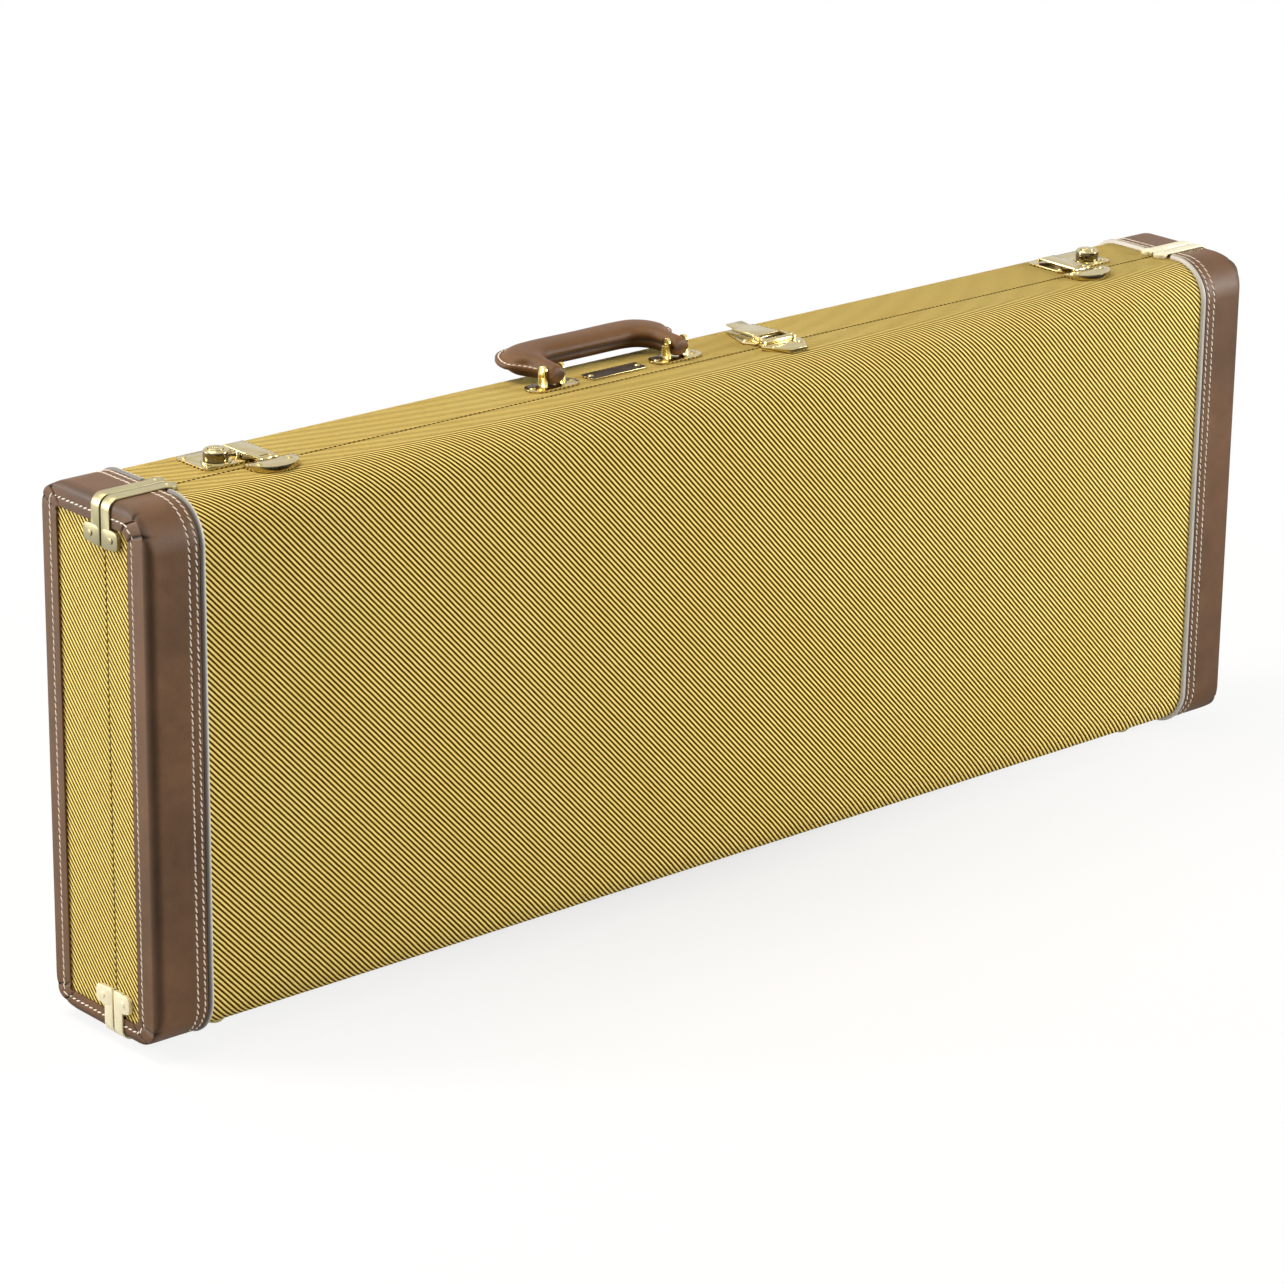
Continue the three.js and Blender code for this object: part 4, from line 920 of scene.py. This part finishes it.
# Seam brackets, whose ears lie on the end faces. Each bracket's brass is painted lighter or darker for the
# reflection it shows: the top left one darkest
bracket_metal = {
    ("top", "left"): dim_painted_brass,
    ("top", "right"): cream_brass,
    ("bottom", "left"): cream_brass,
    ("bottom", "right"): brass,
}
ear_proud = 1.35
ear_reach = {"lid": (-18.8, -1.1), "body": (1.1, 19.2)}
ear_low = {"top": 342.8, "bottom": 18}
ear_height = 12.6
ear_corner = 4
ear_corner_steps = 6


def add_ear(name, shell, end, level, metal):
    """A plate with rounded corners, upright on the end face."""
    near, far = ear_reach[shell]
    low = ear_low[level]
    high = low + ear_height
    faces_out = (end_sign[end] * (board_face + fit), end_sign[end] * (half_length + fit + ear_proud))
    outline = []
    for turn, (y, z) in enumerate(((far, high), (near, high), (near, low), (far, low))):
        centre_y = y + (-ear_corner if turn in (0, 3) else ear_corner)
        centre_z = z + (-ear_corner if turn in (0, 1) else ear_corner)
        for step in range(ear_corner_steps + 1):
            angle = math.pi / 2 * (turn + step / ear_corner_steps)
            outline.append((centre_y + ear_corner * math.cos(angle), centre_z + ear_corner * math.sin(angle)))
    count = len(outline)
    points = [(x, y, z) for x in faces_out for y, z in outline]
    edges = [(i, (i + 1) % count, (i + 1) % count + count, i + count) for i in range(count)]
    mesh = mesh_from(name, points, [*edges, range(count), range(2 * count - 1, count - 1, -1)])
    rounding = {"softness": plate_softness, "sharp_over": metal_sharp}
    make_piece(name, mesh, [metal], shell_body[shell], "brass_hardware", **rounding)


for shell in sides:
    for end in end_sign:
        for level in ("top", "bottom"):
            metal = bracket_metal[level, end]
            name = f"{shell}_corner_bracket_{level}_{end}"
            dress(f"{shell}_bracket_{level}_{end}", name, metal, softness=plate_softness)
            add_ear(f"{name}_ear", shell, end, level, metal)
        dress(f"{shell}_foot_{end}", f"{shell}_domed_foot_{end}", yellow_brass, softness=domed_softness)

# Hinges, handle plates, latches and badge
handle_ear_start = 3.1
badge_top = 1.5


def on_handle_ear(middle, _):
    return middle[2] > shell_height + handle_ear_start


def on_steep_side(_, normal):
    return abs(normal.z) < steep_share


def on_badge_field(middle, normal):
    return abs(middle[2] - shell_height - badge_top) < fit / 2 and normal.z > level_share


for place in ("left", "middle", "right"):
    for shell in sides:
        dress(f"hinge_{place}_{shell}_leaf", f"hinge_{place}_{shell}_plate", brass, softness=plate_softness)
for end in end_sign:
    ears = dress(f"handle_plate_{end}", f"handle_ears_{end}", brass, moving_softness)
    paint(ears, gold, on_handle_ear)
    dress(f"latch_base_{end}", f"latch_plate_{end}", brass, softness=plate_softness)
    knob = dress(f"latch_knob_{end}", f"latch_slide_{end}", brass, softness=moving_softness)
    # The knob's sides are painted in darker brass: a painted dark reflection
    paint(knob, shaded_brass, on_steep_side)
    dress(f"key_cylinder_{end}", f"key_slot_{end}", brass, pin_softness)
    half_moon = f"latch_half_moon_{end}"
    dress(f"latch_lid_plate_{end}", half_moon, brass, softness=half_moon_softness, segments=3)
    dress(f"latch_pin_{end}", f"latch_axle_{end}", gold, pin_softness)
    dress(f"latch_hasp_{end}", f"latch_arm_{end}", brass, softness=moving_softness)
paint(dress("badge_plate", "badge", brass), lacquer, on_badge_field)
dress("centre_latch_base", "centre_latch_plate", brass)
dress("centre_latch_lid_plate", "centre_latch_front_plate", brass, softness=domed_softness)
dress("centre_latch_pin", "centre_latch_axle", gold, pin_softness)
dress("centre_latch_link", "centre_latch_loop", brass)
dress("centre_latch_lever", "centre_latch_tab", brass, softness=moving_softness)

# Handle: a padded leather grip that lies back on its two pins, with a sewn flange round its outer side
handle_x = -66.5
handle_y = 17
pin_height = 10
leg_spacing = 114
leg_half_width = 6.5
leg_half_thickness = 7
grip_near = 25.5
grip_far = 56.5
grip_half_thickness = 8.5
shoulder_half = 77
inner_half = 42.5
rest_tilt = math.radians(3)
flange_width = 5.5
flange_half_thickness = 1.7
handle_groove_depth = 1.3
# Painted shade, as shares of the colour: in the handle's groove and along its underside
handle_groove_width = 1.5
handle_groove_shade = 0.85
handle_under_shade = 0.45
# Profile of the flange's edge, as shares of its width and of its half thickness
flange_profile = ((1.0, 0.62), (0.94, 0.93), (0.8, 1.0), (0.55, 0.9), (0.25, 1.0))
flange_point = 2  # of the profile, on the flange's flat
stitch_point = 3  # of the profile, in the dip where the stitches lie
sewn_flange_share = 0.3  # width of the flange from which it is sewn
bare_edge_share = 0.6  # of the flange's thickness, kept where a leg has no flange
tube_start = 0.26  # angle at which the padded part leaves the flange
tube_points = 22
tube_width_power = 0.86
tube_height_power = 0.78
tube_on_flange_share = 0.9
leg_end_angles = (math.pi / 2 * 0.97, 0.12)
leg_end_rings = 6
leg_end_drop_power = 0.7
leg_end_thin_power = 0.55
station_steps = 6
outer_leg = leg_spacing / 2 + leg_half_width
inner_leg = leg_spacing / 2 - leg_half_width
# Each half's plan from the pin to the middle: inner and outer side as (x, distance from the pins),
# flange as a share of its full width
handle_stations = (
    (inner_leg, 0, outer_leg, 0, 0),
    (inner_leg, 9, outer_leg + 0.6, 8, 0.25),
    (inner_leg - 1.6, 17, outer_leg + 5.5, 17, 0.8),
    (inner_half + 1.0, 22.6, shoulder_half - 0.3, 28, 1),
    (inner_half - 5, grip_near - 0.2, shoulder_half - 3.6, 42, 1),
    (inner_half - 12, grip_near, shoulder_half - 14, 52.6, 1),
    (inner_half - 20, grip_near, shoulder_half - 30, grip_far - 0.3, 1),
    (inner_half - 31, grip_near, shoulder_half - 52, grip_far, 0.9),
    (0, grip_near, 0, grip_far, 0.9),
)


def smooth_through(points, steps):
    """A Catmull-Rom line through the rows of points."""
    points = np.asarray(points, float)
    padded = np.vstack([2 * points[0] - points[1], points, 2 * points[-1] - points[-2]])
    line = []
    for i in range(1, len(padded) - 2):
        a, b, c, d = padded[i - 1 : i + 3]
        for t in np.linspace(0, 1, steps, endpoint=False):
            twice = 2 * b + (c - a) * t
            twice += (2 * a - 5 * b + 4 * c - d) * t**2
            twice += (3 * b - a - 3 * c + d) * t**3
            line.append(0.5 * twice)
    line.append(points[-1])
    return np.array(line)


def handle_section(width, half_thickness, flange_share):
    """(across from the inner side, height) round one section, from the flange's edge over the top."""
    flange = flange_width * flange_share
    tube = width - flange
    edge_share = 1 if flange_share > 0 else bare_edge_share
    flange_half = min(flange_half_thickness, half_thickness) * edge_share
    groove_share = min(1, half_thickness / leg_half_thickness)
    top = [(tube + flange * share, flange_half * high) for share, high in flange_profile]
    for angle in np.linspace(tube_start, math.pi, tube_points):
        side = math.copysign(abs(math.cos(angle)) ** tube_width_power, math.cos(angle))
        across = min(tube / 2 + tube / 2 * side, tube)
        high = half_thickness * math.sin(angle) ** tube_height_power if angle < math.pi else 0
        near = math.exp(-((high / handle_groove_width) ** 2)) if across < tube / 2 else 0
        across += handle_groove_depth * near * groove_share
        top.append((across, max(high, flange_half * tube_on_flange_share) if angle < math.pi / 2 else high))
    bottom = [(across, -high) for across, high in top[-2::-1]]
    return top + bottom


def add_handle():
    plan = smooth_through(handle_stations, station_steps)
    ends = []
    for angle in np.linspace(*leg_end_angles, leg_end_rings):
        drop = -leg_half_thickness * math.sin(angle) ** leg_end_drop_power
        thick = leg_half_thickness * math.cos(angle) ** leg_end_thin_power
        ends.append(((inner_leg, drop, outer_leg, drop, 0), thick))
    growth = np.clip(plan[:, 1] / grip_near, 0, 1)
    thickness = leg_half_thickness + (grip_half_thickness - leg_half_thickness) * growth
    half = ends + [(tuple(row), thick) for row, thick in zip(plan, thickness)]
    whole = [((-a, b, -c, d, e), t) for (a, b, c, d, e), t in half] + half[-2::-1]
    rings = []
    painted_shades = []
    for (inner_x, inner_p, outer_x, outer_p, flange), thick in whole:
        inner = np.array([inner_x, inner_p])
        across = np.array([outer_x, outer_p]) - inner
        width = np.linalg.norm(across)
        across = across / width
        ring = []
        for u, high in handle_section(width, thick, flange):
            # Painted shade in the groove and along the underside
            in_groove = math.exp(-((high / handle_groove_width) ** 2)) if u < width / 2 else 0
            under = handle_under_shade if high < 0 and flange > 0 else 0
            painted_shades.append(max(handle_groove_shade * in_groove, under))
            x, p = inner + across * u
            y = handle_y + p * math.cos(rest_tilt) - high * math.sin(rest_tilt)
            z = shell_height + pin_height + p * math.sin(rest_tilt) + high * math.cos(rest_tilt)
            ring.append((handle_x + x, y, z))
        rings.append(ring)
    grid = np.array(rings)
    count = grid.shape[1]
    faces = []
    for r in range(len(grid) - 1):
        for c in range(count):
            a, b = r * count + c, r * count + (c + 1) % count
            faces.append((a, b, b + count, a + count))
    last = (len(grid) - 1) * count
    faces.append(tuple(range(count)))
    faces.append(tuple(last + c for c in reversed(range(count))))
    mesh = mesh_from("leather_handle", grid.reshape(-1, 3), faces, painted_shades=painted_shades)
    make_piece("leather_handle", mesh, [handle_leather], "handle", "leather", ["handle_grip"], sharp_over=60)
    first = next(i for i, (row, _) in enumerate(whole) if row[4] > sewn_flange_share)
    sewn = grid[first : len(grid) - first]
    line = sewn[:, stitch_point]
    middle = (sewn[:, flange_point] + sewn[:, count - 1 - flange_point]) / 2
    out = line - middle
    out /= np.linalg.norm(out, axis=1, keepdims=True)
    lay_stitches("handle_stitches", [(line + out * stitch_lift, out)], "handle", pitch=3.9, length=3.6)


add_handle()

# Lining: foam pads under plush, each swelling from where it rests on its shell, and a board pocket
pad_voxel = 7
pad_swell = 3.5  # how far the stuffing may push any point
pad_steps = 20
pad_pressure = 4
held_share = 0.6  # of a voxel, within which a point lies on a side of the pad's CAD box and is held
drawn_in_share = 0.9  # of the swelling, by which the loose points are drawn in beforehand
board_softness = 0.8
pocket_tab_back = 12  # the tab lies in front of the cover, nearer the seam
# Each pad's loose side, in front (-1) or behind (1), and its fill
pads = {
    "floor_pad": (-1, 0.4),
    "cradle_upper": (-1, 0.85),
    "cradle_lower": (-1, 0.85),
    "neck_rest": (-1, 0.85),
    "lid_pad": (1, 0.5),
}


def places_of(mesh):
    places = np.empty(len(mesh.vertices) * 3)
    mesh.vertices.foreach_get("co", places)
    return places.reshape(-1, 3)


def swell(made, loose):
    """Places of a pad's points after cloth under pressure has carried the loose ones outwards."""
    start = places_of(made.data)
    held = made.vertex_groups.new(name="held")
    held.add([int(i) for i in np.flatnonzero(~loose)], 1.0, "REPLACE")
    cloth = made.modifiers.new("stuffing", "CLOTH")
    cloth.settings.vertex_group_mass = held.name
    cloth.settings.use_pressure = True
    cloth.settings.uniform_pressure_force = pad_pressure
    cloth.settings.effector_weights.gravity = 0
    cloth.point_cache.frame_end = pad_steps
    for step in range(1, pad_steps + 1):
        bpy.context.scene.frame_set(step)
    evaluated = made.evaluated_get(bpy.context.evaluated_depsgraph_get())
    moved = places_of(evaluated.data) - start
    made.modifiers.clear()
    made.vertex_groups.clear()
    length = np.linalg.norm(moved, axis=1, keepdims=True)
    return start + moved * np.minimum(1, pad_swell * MM / np.maximum(length, tiny))


def add_pad(node, loose_side):
    mesh = merged_copy(node, f"plush_{node}")
    made = add_object(mesh.name, mesh)
    grain = made.modifiers.new("even grain", "REMESH")
    grain.mode = "VOXEL"
    grain.voxel_size = pad_voxel * MM
    apply_modifiers(made)
    places = places_of(made.data)
    normals = np.array([v.normal for v in made.data.vertices])
    held = np.zeros(len(places), bool)
    for axis in range(3):
        for side, bound in zip((-1, 1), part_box(node)):
            if axis != 1 or side != loose_side:
                held |= np.abs(places[:, axis] - bound[axis]) < pad_voxel * held_share * MM
    drawn_in = places - normals * (~held * pad_swell * drawn_in_share * MM)[:, None]
    made.data.vertices.foreach_set("co", drawn_in.ravel())
    made.data.vertices.foreach_set("co", swell(made, ~held).ravel())
    rounding = made.modifiers.new("rounding", "SUBSURF")
    rounding.levels = 1
    rounding.render_levels = 1
    apply_modifiers(made)
    cover(made.data, plush)
    smooth(made.data, sharp_over=180)
    finish_piece(made, node_body[node], [node])


def on_pocket_tab(middle, _):
    return middle[1] < pocket_tab_back - fit


for node, (loose_side, fill) in pads.items():
    add_pad(node, loose_side)
dress("pocket_box", "pocket_walls", plush, board_softness, 3)
paint(dress("pocket_lid", "pocket_cover", plush, board_softness, 3), leather, on_pocket_tab)


# Camera, light and floor, in metres

daylight = 0.22  # strength of the white surroundings, as far as they light the case
floor_half = 30.0
fade_in = 0.3  # how much whiter the floor gets in each metre from its middle
fade_start = 0.7
gloss_in = 1.1  # the same for what glossy pieces mirror, in each metre behind the case
gloss_start = 0.5


def add_camera():
    forward = Vector(camera_forward).normalized()
    right = forward.cross(Vector((0, 0, 1))).normalized()
    up = right.cross(forward)
    tilted_right = math.cos(camera_roll) * right + math.sin(camera_roll) * up
    tilted_up = -math.sin(camera_roll) * right + math.cos(camera_roll) * up
    turn = Matrix((tilted_right, tilted_up, -forward)).transposed().to_4x4()
    data = bpy.data.cameras.new("photo camera")
    data.lens = camera_lens
    data.sensor_width = sensor_width
    made = add_object("photo camera", data)
    made.matrix_world = Matrix.Translation(camera_place) @ turn
    bpy.context.scene.camera = made


def add_lamp(name, place, target, width, height, power, colour=(1, 1, 1)):
    data = bpy.data.lights.new(name, "AREA")
    data.shape = "RECTANGLE"
    data.size = width
    data.size_y = height
    data.energy = power
    data.color = colour
    made = add_object(name, data)
    made.location = place
    direction = Vector(target) - Vector(place)
    made.rotation_euler = direction.to_track_quat("-Z", "Y").to_euler()


def background_rays(tree):
    """1 for rays that show the background: straight from the camera, in gloss or through glass."""
    path = tree.nodes.new("ShaderNodeLightPath")
    seen = calc(tree, "MAXIMUM", path.outputs["Is Camera Ray"], path.outputs["Is Glossy Ray"])
    return calc(tree, "MAXIMUM", seen, path.outputs["Is Transmission Ray"])


def add_world():
    world = bpy.data.worlds.new("studio")
    bpy.context.scene.world = world
    world.use_nodes = True
    tree = world.node_tree
    shown = tree.nodes["Background"]
    shown.inputs["Color"].default_value = (1, 1, 1, 1)
    strength = calc(tree, "MULTIPLY_ADD", background_rays(tree), 1 - daylight, daylight)
    tree.links.new(strength, shown.inputs["Strength"])


def add_floor():
    mesh = bpy.data.meshes.new("floor")
    corners = [(x * floor_half, y * floor_half, 0) for x, y in ((-1, -1), (1, -1), (1, 1), (-1, 1))]
    mesh.from_pydata(corners, [], [(0, 1, 2, 3)])
    made = add_object("floor", mesh)
    material = bpy.data.materials.new("white floor")
    material.use_nodes = True
    tree = material.node_tree
    output = tree.nodes["Material Output"]
    tree.nodes.remove(tree.nodes["Principled BSDF"])
    matt = add_node(tree, "ShaderNodeBsdfDiffuse", {"Color": (0.86, 0.86, 0.86, 1)})
    glow = add_node(tree, "ShaderNodeEmission", {"Color": (1, 1, 1, 1), "Strength": 1.0})
    place = tree.nodes.new("ShaderNodeTexCoord").outputs["Object"]
    far = add_node(tree, "ShaderNodeVectorMath", {0: place}, operation="LENGTH").outputs["Value"]
    glossy = tree.nodes.new("ShaderNodeLightPath").outputs["Is Glossy Ray"]
    fade = calc(tree, "MULTIPLY_ADD", far, fade_in, fade_start, clamp=True)
    backwards = add_node(tree, "ShaderNodeSeparateXYZ", {0: place}).outputs[1]
    in_gloss = calc(tree, "MULTIPLY_ADD", backwards, gloss_in, gloss_start, clamp=True)
    in_others = calc(tree, "SUBTRACT", 1.0, glossy)
    feed(tree, glow.inputs["Strength"], calc(tree, "MAXIMUM", in_others, in_gloss))
    white = calc(tree, "MAXIMUM", fade, glossy)
    share = calc(tree, "MULTIPLY", white, background_rays(tree))
    both = add_node(tree, "ShaderNodeMixShader", {0: share, 1: matt.outputs[0], 2: glow.outputs[0]})
    tree.links.new(both.outputs[0], output.inputs["Surface"])
    mesh.materials.append(material)


add_camera()
add_world()
add_floor()
add_lamp("right softbox", (2.4, -2.0, 1.1), (0.2, 0, 0.2), width=0.9, height=0.9, power=100)
add_lamp("left softbox", (-2.1, 1.6, 0.9), (-0.5, 0, 0.2), width=0.9, height=1.3, power=55)
warm = (1.0, 0.87, 0.68)
add_lamp("top softbox", (-0.8, 0.5, 2.2), (-0.2, 0, 0.38), width=1.6, height=1.2, power=46, colour=warm)
bpy.context.scene.view_settings.view_transform = "Standard"
